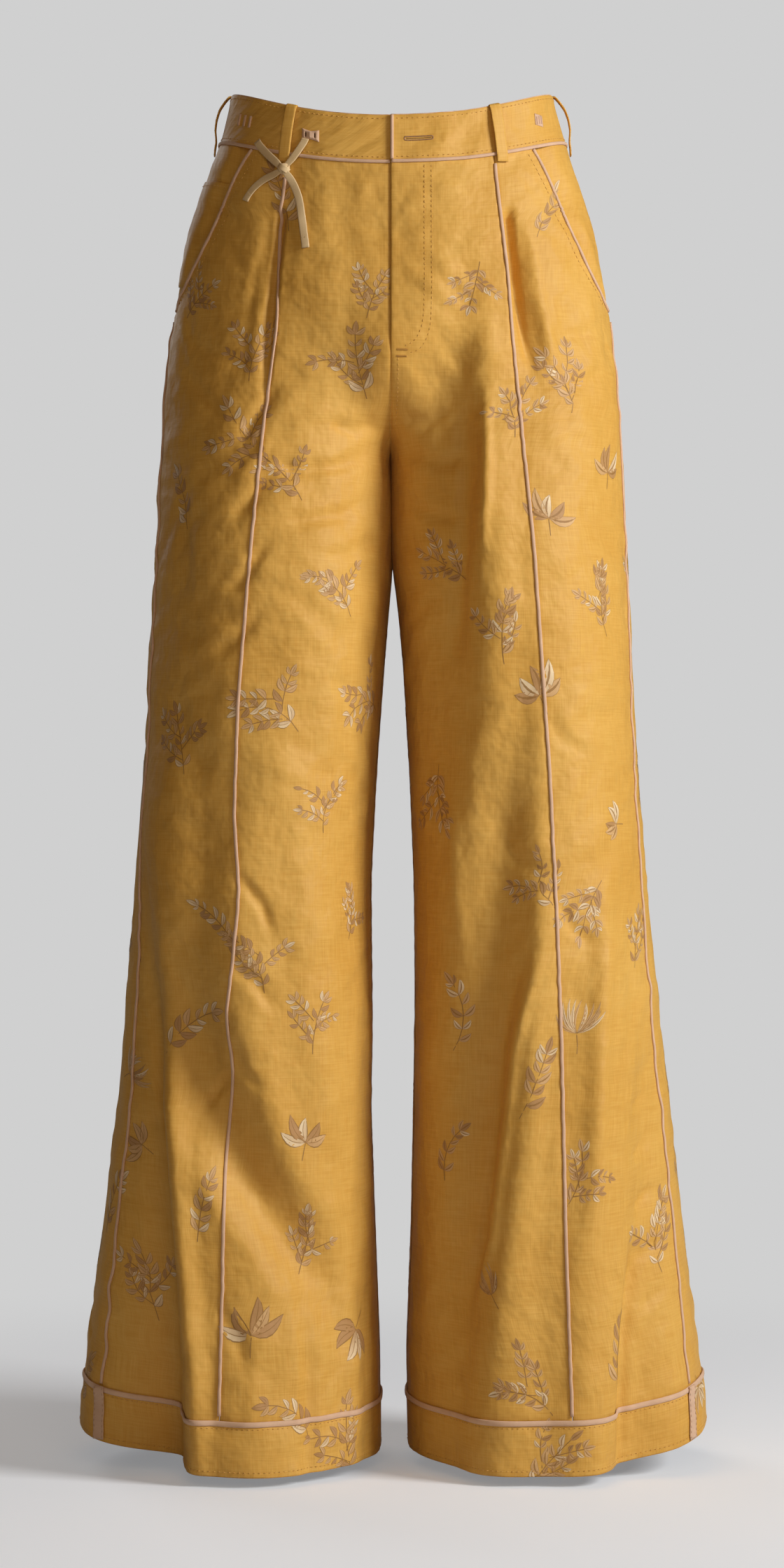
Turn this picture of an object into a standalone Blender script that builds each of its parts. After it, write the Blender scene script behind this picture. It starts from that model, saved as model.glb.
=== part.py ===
"""Palazzo pants with a high waist and wide legs, hollow and open at the waist and hems, as worn.

Metres, +Z up, the front faces -Y and the wearer's left is +X. The origin is the middle of the
waist opening, level with the waistband's top edge at the sides. The tables are in millimetres.

Each half of the garment is one smooth surface: a ring for every depth below the waist, half a
torso above the crotch and a whole leg below it, with the large folds moved in or out. Every
piece of cloth is a stretch of that surface given a thickness, so neighbours meet at their seams.
"""

import bmesh
import bpy
import numpy as np

# Driving sizes, in millimetres
WALL = 1.5                # thickness of the cloth
SEAM = 0.15               # a panel stops this far from its seam line
LAID = 0.3                # clearance under a piece that lies on another
WAISTBAND = 38.0          # depth of the waistband
LENGTH = 1035.0           # top edge to hem, at the side
HEM_BAND = 39.0           # depth of the turn-up
HEM_STEP = 0.6            # the turn-up stands out this far
FLY_END = 200.0           # the front opening ends this far below the waist
OVERLAP = 30.0            # the waistband runs this far under its other end
OVERLAP_LIFT = 1.9        # the upper layer of the overlap stands out this far
OVERLAP_FADE = 25.0       # and comes down to the rest of the cloth over this width
FLY_UNDERLAP = 8.0        # the lower front runs this far under the upper one
FLY_TAPER = 140.0         # the underlap starts to narrow here
CROTCH = 295.0            # depth of the crotch point
CROTCH_START = 200.0      # the centre seams start to curve inwards here
LEG_START = 150.0         # away from those seams the torso starts to turn into legs here
LEG_TURN = 230.0          # and has done so this much lower
FRONT_DIP = 28.0          # the waist is this much lower at the centre front
BACK_DIP = 4.0
DIP_END = 250.0           # the rows are level from here down
HEM_DROP = 17.0           # the hem is this much lower than its inseam
HEM_TILT = 6.0            # the front of the hem is lower still, and the back higher
DROP_START = 700.0
PIPING = 2.7              # width of the piping in the seams
PIPING_HIGH = 1.2
PIPING_SET = 0.55         # its underside is this far above the seam
HEM_PIPING = 4.3
POCKET_TUCK = 14.0        # the pocket facing runs this far under the front
POCKET_SET = 3.3          # and lies this far behind its surface
POCKET_END = 176.0
COIN_WALL = 0.9           # the coin pocket is of thinner cloth
LOOP_WIDTH = 9.5
LOOP_THICK = 1.3
LOOP_END = 46.0           # depth at which the belt loops end, below the waist seam
TAB_WIDTH = 11.0
TAB_THICK = 0.9
TAPE_WIDTH = 6.0
TAPE_THICK = 0.9
TACK = (61, 16, 25, 13)   # distance from the centre line, top, bottom and width of the tie's tack
KNOT_DEPTH = 51.5
KNOT_ACROSS = 80.0        # distance of the tie's knot from the centre line
KNOT_LIFT = 3.95          # its middle is this far in front of the cloth
KNOT_SIZE = (9.2, 7.2, 8.4)

# The outline: depth below the waist, how far each leg reaches out and in from the centre line,
# and how far the cloth stands in front of and behind it
BODY = np.array([
    # below, right_out, right_in, left_in, left_out, front, back
    (0,    124,  0.0,  0.0, 126,  92,  95),
    (38,   133,  0.0,  0.0, 137,  96,  99),
    (66,   144,  0.0,  0.0, 146,  99, 106),
    (110,  158,  0.0,  0.0, 160, 104, 116),
    (153,  166,  0.0,  0.0, 167, 108, 125),
    (197,  172,  0.0,  0.0, 173, 111, 129),
    (241,  177,  0.2,  0.2, 179, 113, 128),
    (295,  181,  0.2,  0.2, 182, 116, 122),
    (340,  183, -1.3,  1.7, 184, 118, 118),
    (360,  184, -1.2,  2.2, 185, 118, 117),
    (395,  186,  1.5,  6.0, 188, 118, 114),
    (438,  188,  4.5,  9.5, 190, 118, 111),
    (526,  192, 10.5, 14.5, 194, 117, 107),
    (614,  198, 15.0, 18.0, 201, 117, 106),
    (701,  207, 14.0, 19.0, 210, 118, 107),
    (789,  214, 15.0, 17.5, 219, 120, 110),
    (877,  224, 11.5, 15.5, 228, 122, 114),
    (964,  235,  8.0, 12.0, 240, 126, 119),
    (1035, 244,  8.0, 14.0, 248, 129, 123),
], float)
COLUMN = {"right_out": 1, "right_in": 2, "left_in": 3, "left_out": 4, "front": 5, "back": 6}

# The seams of each leg's front: (depth below the waist level, distance from the centre line)
CREASE = {
    "right": [(50, 79), (73, 80), (107, 84), (188, 86), (262, 96), (363, 106), (473, 115),
              (560, 118), (619, 114), (673, 119), (712, 124), (755, 118), (822, 125),
              (932, 127), (1060, 130)],
    "left": [(50, 79), (71, 80), (149, 89), (190, 92), (262, 99), (354, 108), (456, 115),
             (526, 120), (627, 125), (729, 129), (873, 132), (1060, 138)],
}
# The slant pocket's edge: (depth along the side, distance in front of the side seam)
POCKET = [(38, 71), (66, 65), (102, 61), (120, 56), (138, 47), (150, 38), (160, 26), (168, 13),
          (176, 0)]
# The side seam: (depth below the waist level, how far in front of the middle it runs)
SIDE = [(0, 0), (180, 0), (264, 24), (526, 40), (690, 50), (870, 50), (1060, 44)]

# The large folds: each row of a path is the distance from the centre line, the depth below the
# waist, the half-width and the height, which is negative in a trough
FOLDS = [
    # leg, face, name, path
    ("right", "front", "outer wing", [(182, 578, 10, 0), (186, 766, 24, -11),
                                      (187, 876, 34, -27), (190, 1035, 48, -52)]),
    ("right", "front", "knee trough", [(160, 500, 30, 0), (128, 640, 44, -12),
                                       (104, 775, 46, -17), (66, 865, 42, -12),
                                       (38, 940, 34, 0)]),
    ("right", "front", "knee ridge", [(90, 480, 34, 0), (66, 640, 44, 8), (48, 760, 40, 5),
                                      (40, 830, 30, 0)]),
    ("right", "front", "pleat", [(91, 98, 6, 0), (93, 112, 9, -4), (98, 150, 13, -4),
                                 (104, 220, 16, 0)]),
    ("right", "front", "hem bulge", [(100, 860, 40, 0), (95, 1035, 55, 10)]),
    ("left", "front", "thigh trough", [(50, 130, 24, 0), (46, 280, 32, -8),
                                       (36, 460, 30, -7), (34, 620, 26, 0)]),
    ("left", "front", "thigh ridge", [(74, 160, 22, 0), (76, 300, 28, 7), (80, 440, 26, 4),
                                      (84, 560, 24, 0)]),
    ("left", "front", "pleat", [(94, 98, 8, 0), (99, 125, 13, -6), (105, 190, 17, -5),
                                (112, 270, 18, 0)]),
    ("left", "front", "knee trough", [(96, 560, 26, 0), (66, 738, 40, -14),
                                      (44, 880, 38, -12), (34, 980, 30, -3)]),
    ("left", "front", "knee ridge", [(120, 600, 24, 0), (96, 738, 30, 8), (84, 880, 34, 9),
                                     (80, 1035, 40, 6)]),
    ("left", "front", "side ridge", [(166, 560, 20, 0), (160, 760, 26, 6), (150, 900, 28, 5),
                                     (146, 1035, 30, 4)]),
    ("left", "front", "outer wing", [(196, 700, 12, 0), (196, 905, 26, -10),
                                     (192, 1035, 40, -22)]),
    ("right", "back", "seat fold", [(120, 330, 26, 0), (126, 620, 38, -12),
                                    (134, 1035, 48, -20)]),
    ("right", "back", "inner ridge", [(60, 380, 30, 0), (62, 700, 36, 8), (64, 1035, 44, 12)]),
    ("left", "back", "seat fold", [(128, 360, 26, 0), (134, 700, 38, -13),
                                   (140, 1035, 46, -18)]),
    ("left", "back", "inner fold", [(70, 420, 28, 0), (64, 760, 34, -9), (60, 1035, 40, -12)]),
]

# The belt loops: (depth below the waist, clearance under the strap)
CLOSE_LOOP = [(0, 0.4), (5, 2.2), (19, 3.4), (30, 3.0), (36, 2.2), (41, 2.1), (LOOP_END, 0.8)]
PROUD_LOOP = [(0, 0.4), (5, 4.2), (11, 6.7), (19, 7.3), (27, 6.4), (36, 2.8), (41, 2.1),
              (LOOP_END, 0.8)]
# The front loops lean: distance from the centre line at the top and at the end
FRONT_LOOP = {"left": (79, 85), "right": (75, 81)}

# The tie's tapes: (distance from the centre line, depth below the waist, clearance)
TIE = {
    "tie_strand": [(65, 28, 0.9), (70, 37, 2.6), (75, 45.5, 3.4)],
    "tie_end": [(85, 47.5, 3.9), (92, 44, 2.9), (97, 38, 1.95), (102, 33, 1.9)],
    "tie_tail_outer": [(86, 55.5, 2.2), (94, 60, 1.6), (103, 69, 0.9), (111, 81, 0.7)],
    "tie_tail_inner": [(75, 57.5, 2.4), (71, 68, 1.4), (67, 92, 0.9), (64, 117, 0.7)],
}

MATERIALS = {
    # name: sRGB colour, roughness
    "mustard_linen": ((0.80, 0.58, 0.22), 0.75),
    "blush_bias_tape": ((0.76, 0.62, 0.52), 0.70),
    "cream_tape": ((0.85, 0.77, 0.64), 0.75),
}

# Depths at which the leg panels have a row of points; close together round the crotch
PANEL_ROWS = np.array([WAISTBAND + SEAM, 52, 66, 84, 102, 120, 138, 154, 166, 176, 188, 205,
                       228, 250, 270, 284, 292, 296, 306, 328, 362, 405, 450, 495, 540, 585,
                       630, 675, 720, 765, 810, 855, 900, 948, LENGTH - HEM_BAND - SEAM])
POCKET_ROWS = np.append(PANEL_ROWS[PANEL_ROWS < POCKET_END], POCKET_END)
FRONT_COLUMNS = np.linspace(0, 1, 11)
SIDE_COLUMNS = np.linspace(0, 1, 8)
BACK_COLUMNS = np.linspace(0, 1, 15)
POCKET_COLUMNS = np.linspace(0, 1, 8)
RING_POINTS = 420         # points in each ring of the surface
SHARP = 1.1               # edges that turn by more than this angle are shaded sharp


def step(value):
    """A smooth step from 0 to 1 as the value goes from 0 to 1."""
    value = np.clip(value, 0, 1)
    return value * value * (3 - 2 * value)


def along(below, depths, values, soften=18):
    """Values read from a table at each depth, with its corners rounded off."""
    shifts = np.linspace(-soften, soften, 7)
    return sum(np.interp(below + d, depths, values) for d in shifts) / len(shifts)


def clear_scene():
    for old in list(bpy.data.objects):
        bpy.data.objects.remove(old, do_unlink=True)


# The surface of one half of the garment

def torso_ring(t, out, front, back):
    """Half a ring from the centre front round the side to the centre back."""
    angle = np.pi * t
    power = 2 / 2.2
    x = out * np.sin(angle) ** power
    y = np.where(t < 0.5, -front, back) * np.abs(np.cos(angle)) ** power
    return x, y


def leg_ring(t, out, inner, front, back):
    """A whole ring from the inseam round the front, the side and the back, fuller inside."""
    angle = 2 * np.pi * t
    across, deep = np.cos(angle), np.sin(angle)
    power = np.where(across > 0, 2 / 2.3, 1)
    x = (out + inner) / 2 - (out - inner) / 2 * np.sign(across) * np.abs(across) ** power
    y = -np.where(deep > 0, front, back) * np.sign(deep) * np.abs(deep) ** power
    return x, y


def fold_height(leg, x, below, t):
    """How far the folds move each point out of the surface."""
    total = np.zeros_like(x)
    facing = {"front": step(np.sin(2 * np.pi * t) / 0.3),
              "back": step(-np.sin(2 * np.pi * t) / 0.3)}
    for fold_leg, face, _, path in FOLDS:
        if fold_leg != leg:
            continue
        middle, depth, half, height = np.array(path, float).T
        half_here = along(below, depth, half)
        off = np.abs(x - along(below, depth, middle)) / half_here
        inside = (below > depth[0] - 20) & (off < 1)
        bump = 0.5 + 0.5 * np.cos(np.pi * np.minimum(off, 1))
        total += np.where(inside, bump * along(below, depth, height) * facing[face], 0)
    return total


def overlap_height(below, along_ring):
    """The upper layer of the front opening stands out near the centre, down to the fly's end."""
    return (OVERLAP_LIFT * (1 - step((along_ring - OVERLAP - 4) / OVERLAP_FADE))
            * (1 - step((below - FLY_END + 12) / OVERLAP_FADE)))


def plain_ring(leg, t, b):
    """The ring at each depth without its folds, a torso above the crotch and a leg below."""
    size = {name: along(b, BODY[:, 0], BODY[:, k], 12) for name, k in COLUMN.items()}
    out, inner = size[leg + "_out"], size[leg + "_in"]
    torso_x, torso_y = torso_ring(t, out, size["front"], size["back"])
    leg_x, leg_y = leg_ring(t, out, inner, size["front"], size["back"])
    # the centre seams curve in like a quarter of an ellipse; the rest turns to a leg slowly
    curve = np.clip((b - CROTCH_START) / (CROTCH - CROTCH_START), 0, 1)
    at_seam = 1 - np.sqrt(1 - curve ** 2)
    near_seam = np.exp(-(np.minimum(t, 1 - t) / 0.07) ** 2)
    turn = near_seam * at_seam + (1 - near_seam) * step((b - LEG_START) / LEG_TURN)
    return torso_x + turn * (leg_x - torso_x), torso_y + turn * (leg_y - torso_y)


def make_surface(leg, overlap=False):
    """The rings of one half: points and outward directions on rows of equal steps round."""
    below = np.concatenate([np.arange(0, 270, 5), np.arange(270, 290, 2.5),
                            [290, 291.5, 293, 294, 294.6, CROTCH], np.arange(300, LENGTH + 1, 5)])
    t = np.linspace(0, 1, RING_POINTS)[None, :]
    b = below[:, None]
    # away from the centre seams each ring is averaged with those above and below it
    soften = 42 * (1 - np.exp(-(np.minimum(t, 1 - t) / 0.06) ** 2)) * step((b - 60) / 120)
    shares = np.linspace(-1, 1, 9)
    near = [plain_ring(leg, t, b + share * soften) for share in shares]
    x, y = (sum(ring[k] for ring in near) / len(near) for k in (0, 1))
    # the folds, square to the ring
    dx, dy = np.gradient(x, axis=1), np.gradient(y, axis=1)
    size_here = np.hypot(dx, dy)
    height = fold_height(leg, x, b, t)
    x, y = x + height * dy / size_here, y - height * dx / size_here
    waist_dip = np.cos(np.pi * t) ** 2 * np.where(t < 0.5, FRONT_DIP, BACK_DIP)
    hem_drop = ((HEM_DROP + HEM_TILT * np.sin(2 * np.pi * t))
                * (1 - np.exp(-((t - 0.5) / 0.13) ** 2)))
    z = (-b - waist_dip * (1 - step(b / DIP_END))
         - hem_drop * step((b - DROP_START) / (LENGTH - DROP_START)))
    rings = np.stack([x, y, z + 0 * x], axis=2)
    rings = even_steps(rings)
    if overlap:
        length = ring_length(rings)
        lift = overlap_height(b, length[:, -1:] * np.linspace(0, 1, RING_POINTS))
        rings = even_steps(rings + lift[:, :, None] * outward(rings, below))
    surface = {"below": below, "points": rings, "outward": outward(rings, below),
               "girth": ring_length(rings)[:, -1]}
    add_seams(surface, leg)
    if leg == "right":
        surface["points"] = surface["points"] * (-1, 1, 1)
        surface["outward"] = surface["outward"] * (-1, 1, 1)
    return surface


def ring_length(rings):
    """The distance round each ring from its start to each of its points."""
    steps = np.linalg.norm(np.diff(rings, axis=1), axis=2)
    return np.concatenate([np.zeros((len(rings), 1)), np.cumsum(steps, axis=1)], axis=1)


def even_steps(rings):
    """The same rings with their points spaced evenly."""
    length = ring_length(rings)
    wanted = np.linspace(0, 1, RING_POINTS)
    return np.stack([
        np.stack([np.interp(wanted * s[-1], s, ring[:, k]) for k in range(3)], axis=1)
        for ring, s in zip(rings, length)])


def outward(rings, below):
    """Unit directions square to the surface, made to agree where its two ends meet."""
    down, round_it = np.gradient(rings, below, axis=0), np.gradient(rings, axis=1)
    n = np.cross(down, round_it)
    n /= np.linalg.norm(n, axis=2)[:, :, None]
    legs = below >= CROTCH
    n[legs, 0] = n[legs, -1] = n[legs, 0] + n[legs, -1]
    n[~legs, 0, 0] = n[~legs, -1, 0] = 0
    for edge in (0, -1):
        n[:, edge] /= np.linalg.norm(n[:, edge], axis=1)[:, None]
    return n


def add_seams(surface, leg):
    """Where the crease seam, the pocket edge and the side seam cross each ring."""
    points, girth = surface["points"], surface["girth"]
    x, y, depth = points[:, :, 0], points[:, :, 1], -points[:, :, 2]
    round_it = np.linspace(0, 1, RING_POINTS)[None, :] * girth[:, None]

    def first(passed):
        return round_it[np.arange(len(points)), np.argmax(passed, axis=1)]

    front_half = round_it < 0.55 * girth[:, None]
    depths, places = np.array(CREASE[leg], float).T
    surface["crease"] = first((x >= along(depth, depths, places, 10)) & front_half
                              | ~front_half)
    depths, places = np.array(SIDE, float).T
    outer = x > 0.6 * x.max(axis=1)[:, None]
    surface["side"] = first((y >= -along(depth, depths, places, 30)) & outer)
    depths, places = np.array(POCKET, float).T
    surface["pocket"] = surface["side"] - along(surface["below"], depths, places, 4)


def read(values, surface, below):
    return np.interp(below, surface["below"], values)


def place(surface, below, along_ring, lift=0.0):
    """The point at a depth and a distance round the ring, lifted square to the cloth, in mm."""
    below, along_ring, lift = np.broadcast_arrays(
        np.asarray(below, float), np.asarray(along_ring, float), np.asarray(lift, float))
    rows = surface["below"]
    r = np.clip(np.searchsorted(rows, below, side="right") - 1, 0, len(rows) - 2)
    f = ((below - rows[r]) / (rows[r + 1] - rows[r]))[..., None]
    girth = surface["girth"]
    here = (1 - f[..., 0]) * girth[r] + f[..., 0] * girth[r + 1]
    u = np.clip(along_ring / here, 0, 1) * (RING_POINTS - 1)
    c = np.minimum(u.astype(int), RING_POINTS - 2)
    g = (u - c)[..., None]

    def sample(a):
        return ((1 - f) * ((1 - g) * a[r, c] + g * a[r, c + 1])
                + f * ((1 - g) * a[r + 1, c] + g * a[r + 1, c + 1]))

    n = sample(surface["outward"])
    n = n / np.linalg.norm(n, axis=-1)[..., None]
    return sample(surface["points"]) + lift[..., None] * n


def stations(surface, below):
    """Where the columns of each panel cross the rings at some depths, in mm round each ring.

    The columns keep their places near the crease and side seams, and only those next to the
    centre seams move out to the crotch.
    """
    below = np.atleast_1d(np.asarray(below, float))
    crease, side, pocket, girth = (read(surface[n], surface, below)[:, None]
                                   for n in ("crease", "side", "pocket", "girth"))

    def spread(width, shares):
        smooth = along(below, surface["below"], width, 45)[:, None]
        exact = read(width, surface, below)[:, None]
        return shares * ((1 - shares ** 3) * smooth + shares ** 3 * exact)

    front = crease - spread(surface["crease"], FRONT_COLUMNS[::-1])
    back = side + spread(surface["girth"] - surface["side"], BACK_COLUMNS)
    edge = np.where(below[:, None] < POCKET_END, pocket, side)
    return {"front": front, "side_front": crease + (edge - crease) * SIDE_COLUMNS,
            "hip": edge + (side - edge) * POCKET_COLUMNS,
            "back": np.minimum(back, girth), "edge": edge[:, 0], "side": side[:, 0]}


def find_across(surface, below, x):
    """How far round the ring the front reaches a distance from the centre line."""
    rows = surface["below"]
    r = int(np.argmin(np.abs(rows - below)))
    reach = np.abs(surface["points"][r, :RING_POINTS // 2, 0])
    place_on = np.linspace(0, 1, RING_POINTS)[:RING_POINTS // 2] * surface["girth"][r]
    return float(np.interp(x, np.maximum.accumulate(reach), place_on))


# Solids

def add_object(name, vertices, faces, material):
    mesh = bpy.data.meshes.new(name)
    mesh.from_pydata((np.asarray(vertices) * 0.001).tolist(), [], faces)
    mesh.materials.append(material)
    shape = bmesh.new()
    shape.from_mesh(mesh)
    bmesh.ops.recalc_face_normals(shape, faces=shape.faces)
    shape.to_mesh(mesh)
    shape.free()
    mesh.shade_smooth()
    mesh.set_sharp_from_angle(angle=SHARP)
    obj = bpy.data.objects.new(name, mesh)
    pants.objects.link(obj)
    return obj


def wall(name, outer, inner, material, ring=False):
    """A closed wall between two grids of points; a ring joins the last column to the first."""
    rows, columns = outer.shape[:2]
    number = np.arange(rows * columns).reshape(rows, columns)
    top = np.concatenate([number, number[:, :1]], axis=1) if ring else number
    base = top + rows * columns
    faces = []

    def add(a, b, c, d):
        faces.extend(np.stack([a, b, c, d], axis=-1).reshape(-1, 4).tolist())

    add(top[:-1, :-1], top[:-1, 1:], top[1:, 1:], top[1:, :-1])
    add(base[:-1, :-1], base[1:, :-1], base[1:, 1:], base[:-1, 1:])
    for edge in (0, -1):
        add(top[edge, :-1], top[edge, 1:], base[edge, 1:], base[edge, :-1])
        if not ring:
            add(top[:-1, edge], top[1:, edge], base[1:, edge], base[:-1, edge])
    vertices = np.concatenate([outer.reshape(-1, 3), inner.reshape(-1, 3)])
    return add_object(name, vertices, faces, material)


def panel(name, surface, below, across, low, high, material):
    """A stretch of the surface from the low to the high lift, short of the seams round it."""
    b = np.asarray(below, float)[:, None]
    across = np.clip(across, across[:, :1] + SEAM, across[:, -1:] - SEAM)
    wall(name, place(surface, b, across, high), place(surface, b, across, low), material)


def seam_piping(name, surface, below, seam, before, after, material, share=0.5):
    """Piping over a seam, on the flats of the panels whose next columns are before and after."""
    middle = place(surface, below, seam)
    up = place(surface, below, seam, 1) - middle
    feet = []
    for gap, reach in ((-before, share * PIPING), (after, (1 - share) * PIPING)):
        neighbour = place(surface, below, seam + gap)
        feet.append(middle + (neighbour - middle) * (reach / np.abs(gap))[:, None])
    feet = np.stack(feet, axis=1)
    up = up[:, None]
    wall(name, feet + up * (PIPING_SET + PIPING_HIGH), feet + up * PIPING_SET, material)


def belt_loop(name, surface, across_top, across_end, profile, material):
    """A strap from the waistband's top edge to below its seam, standing off between."""
    below, lift = np.array(profile, float).T
    share = (below - below[0]) / (below[-1] - below[0])
    middle = across_top + (across_end - across_top) * share
    grid_b = below[:, None]
    across = middle[:, None] + np.array([-0.5, 0.5]) * LOOP_WIDTH
    wall(name, place(surface, grid_b, across, lift[:, None] + LOOP_THICK),
         place(surface, grid_b, across, lift[:, None]), material)


def tape(name, surface, path, material, points=9):
    """A flat tape along a path of (distance from the centre line, depth, clearance)."""
    path = np.array(path, float)
    at = np.linspace(0, 1, len(path))
    wanted = np.linspace(0, 1, points)
    x, below, lift = (np.interp(wanted, at, path[:, k]) for k in range(3))
    across = np.array([find_across(surface, b, v) for b, v in zip(below, x)])
    middle = place(surface, below, across, lift)
    up = place(surface, below, across, lift + 1) - middle
    forward = np.gradient(middle, axis=0)
    forward /= np.linalg.norm(forward, axis=1)[:, None]
    side = np.cross(up, forward)
    side /= np.linalg.norm(side, axis=1)[:, None]
    edges = np.stack([middle - side * TAPE_WIDTH / 2, middle + side * TAPE_WIDTH / 2], axis=1)
    wall(name, edges + up[:, None] * TAPE_THICK, edges, material)


# Pieces

def leg_panels(leg, surface, under, cloth):
    """The front, side-front, back and pocket pieces of one half."""
    at = stations(surface, PANEL_ROWS)
    if leg == "right":
        front_with_underlap(surface, under, at["front"], cloth)
    else:
        panel("front_centre_left", surface, PANEL_ROWS, at["front"], -WALL, 0, cloth)
    panel(f"front_side_{leg}", surface, PANEL_ROWS, at["side_front"], -WALL, 0, cloth)
    panel(f"back_{leg}", surface, PANEL_ROWS, at["back"], -WALL, 0, cloth)
    pocket_facing(leg, surface, cloth)


def front_with_underlap(surface, under, across, cloth):
    """The lower front runs a little past the centre, under the upper one, down to the fly's end."""
    b = PANEL_ROWS[:, None]
    across = np.clip(across, SEAM, across[:, -1:] - SEAM)
    past = FLY_UNDERLAP * (1 - step((PANEL_ROWS - FLY_TAPER) / 25))
    layers = []
    for lift in (0, -WALL):
        grid = place(surface, b, across, lift)
        beyond = place(under, PANEL_ROWS, past, lift)
        moved = past > SEAM
        grid[moved, 0] = beyond[moved]
        layers.append(grid)
    wall("front_centre_right", layers[0], layers[1], cloth)


def pocket_facing(leg, surface, cloth):
    """The hip piece in the slant pocket, set back where it passes under the front."""
    at = stations(surface, POCKET_ROWS)
    edge, side = read(surface["pocket"], surface, POCKET_ROWS)[:, None], at["side"][:, None]
    start = edge - POCKET_TUCK
    across = start + (side - SEAM - start) * POCKET_COLUMNS
    lift = -POCKET_SET * (1 - step((across - edge - 6) / 16))
    b = POCKET_ROWS[:, None]
    wall(f"pocket_facing_{leg}", place(surface, b, across, lift),
         place(surface, b, across, lift - WALL), cloth)
    if leg == "right":
        # the coin pocket is a patch on the facing, short of the side seam
        rows, columns = slice(2, 7), slice(0, 6)
        b, across, lift = b[rows], across[rows, columns], lift[rows, columns] + LAID
        wall("coin_pocket", place(surface, b, across, lift + COIN_WALL),
             place(surface, b, across, lift), cloth)


def round_the_waist(left, right, under, below, low, high, name, material, overlap=0.0):
    """A strip right round the waist from the left front edge; it may run under its start."""
    b = np.asarray(below, float)[:, None]
    ways = []
    for surface in (left, right):
        at = stations(surface, WAISTBAND)
        round_it = np.concatenate([at[n][0] for n in ("front", "side_front", "hip", "back")])
        girth = read(surface["girth"], surface, WAISTBAND)
        ways.append(np.unique(np.round(round_it, 2)) / girth * read(surface["girth"], surface, b))
    first, last = np.maximum(ways[0], SEAM), np.maximum(ways[1][:, ::-1][:, 1:], SEAM)
    layers = []
    for lift in (high, low):
        parts = [place(left, b, first, lift), place(right, b, last, lift)]
        if overlap:
            parts.append(place(under, b, np.array([[overlap / 2, overlap]]), lift))
        layers.append(np.concatenate(parts, axis=1))
    wall(name, layers[0], layers[1], material)


def waist_pieces(left, right, under, cloth, blush):
    top = np.array([0, WAISTBAND / 2, WAISTBAND - SEAM])
    round_the_waist(left, right, under, top, -WALL, 0, "waistband", cloth, OVERLAP)
    seam = np.array([WAISTBAND - PIPING / 2, WAISTBAND + PIPING / 2])
    round_the_waist(left, right, under, seam, LAID, LAID + PIPING_HIGH, "waist_piping", blush)
    edge = np.array([0, WAISTBAND / 2, WAISTBAND - PIPING / 2 - LAID])
    panel("waistband_edge_binding", left, edge, np.full((3, 2), (0, 2.4)), LAID, 1.1, blush)


def hem_pieces(leg, surface, cloth, blush):
    """The turn-up, the piping along its top and the tab across it at the side."""
    top = LENGTH - HEM_BAND
    rows = np.array([top + SEAM, top + HEM_BAND / 2, LENGTH])
    at = stations(surface, top)
    round_it = np.concatenate([at[n][0] for n in ("front", "side_front", "back")])
    shares = np.unique(np.round(round_it, 2))[:-1] / read(surface["girth"], surface, top)

    def ring(name, below, low, high, material):
        b = below[:, None]
        across = read(surface["girth"], surface, b) * shares
        wall(name, place(surface, b, across, high), place(surface, b, across, low),
             material, ring=True)

    ring(f"hem_band_{leg}", rows, HEM_STEP - WALL, HEM_STEP, cloth)
    lift = HEM_STEP + LAID
    ring(f"hem_piping_{leg}", np.array([top - HEM_PIPING / 2, top + HEM_PIPING / 2]),
         lift, lift + PIPING_HIGH, blush)
    tab_rows = np.array([top - HEM_PIPING / 2, top + HEM_PIPING, top + HEM_BAND / 2, LENGTH - 1])
    across = read(surface["side"], surface, tab_rows)[:, None]
    across = across + np.array([-0.5, 0, 0.5]) * TAB_WIDTH
    rise = np.array([lift + PIPING_HIGH + LAID, lift + PIPING_HIGH + LAID,
                     lift + 0.5, lift + 0.4])[:, None]
    b = tab_rows[:, None]
    wall(f"hem_tab_{leg}", place(surface, b, across, rise + TAB_THICK),
         place(surface, b, across, rise), blush)


def leg_piping(leg, surface, blush):
    """The piping in the crease seam, the side seam and the pocket mouth."""
    low_end = LENGTH - HEM_BAND - HEM_PIPING / 2 - LAID
    start = LOOP_END + 2 if leg == "left" else KNOT_DEPTH + 6
    rows = np.concatenate([[start], PANEL_ROWS[2:-1], [low_end]])
    at = stations(surface, rows)
    crease = at["front"][:, -1]
    seam_piping(f"crease_piping_{leg}", surface, rows, crease, crease - at["front"][:, -2],
                at["side_front"][:, 1] - crease, blush)
    rows = rows[rows > POCKET_END + 20]
    at = stations(surface, rows)
    seam_piping(f"side_piping_{leg}", surface, rows, at["side"],
                at["side"] - at["side_front"][:, -2], at["back"][:, 1] - at["side"], blush)
    high_end = WAISTBAND + PIPING / 2 + LAID
    rows = np.concatenate([[high_end], PANEL_ROWS[(PANEL_ROWS > high_end)
                                                  & (PANEL_ROWS < POCKET_END - 8)]])
    at = stations(surface, rows)
    gap = at["edge"] - at["side_front"][:, -2]
    seam_piping(f"pocket_piping_{leg}", surface, rows, at["edge"] - SEAM, gap, gap, blush,
                share=1.0)


def belt_loops(left, right, cloth):
    for leg, surface in (("left", left), ("right", right)):
        top, end = FRONT_LOOP[leg]
        belt_loop(f"belt_loop_front_{leg}", surface, find_across(surface, 0, top),
                  find_across(surface, LOOP_END, end), CLOSE_LOOP, cloth)
        side = read(surface["side"], surface, [0, LOOP_END])
        belt_loop(f"belt_loop_side_{leg}", surface, side[0], side[1], PROUD_LOOP, cloth)
    centre_loop(left, right, CLOSE_LOOP, cloth)


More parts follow.
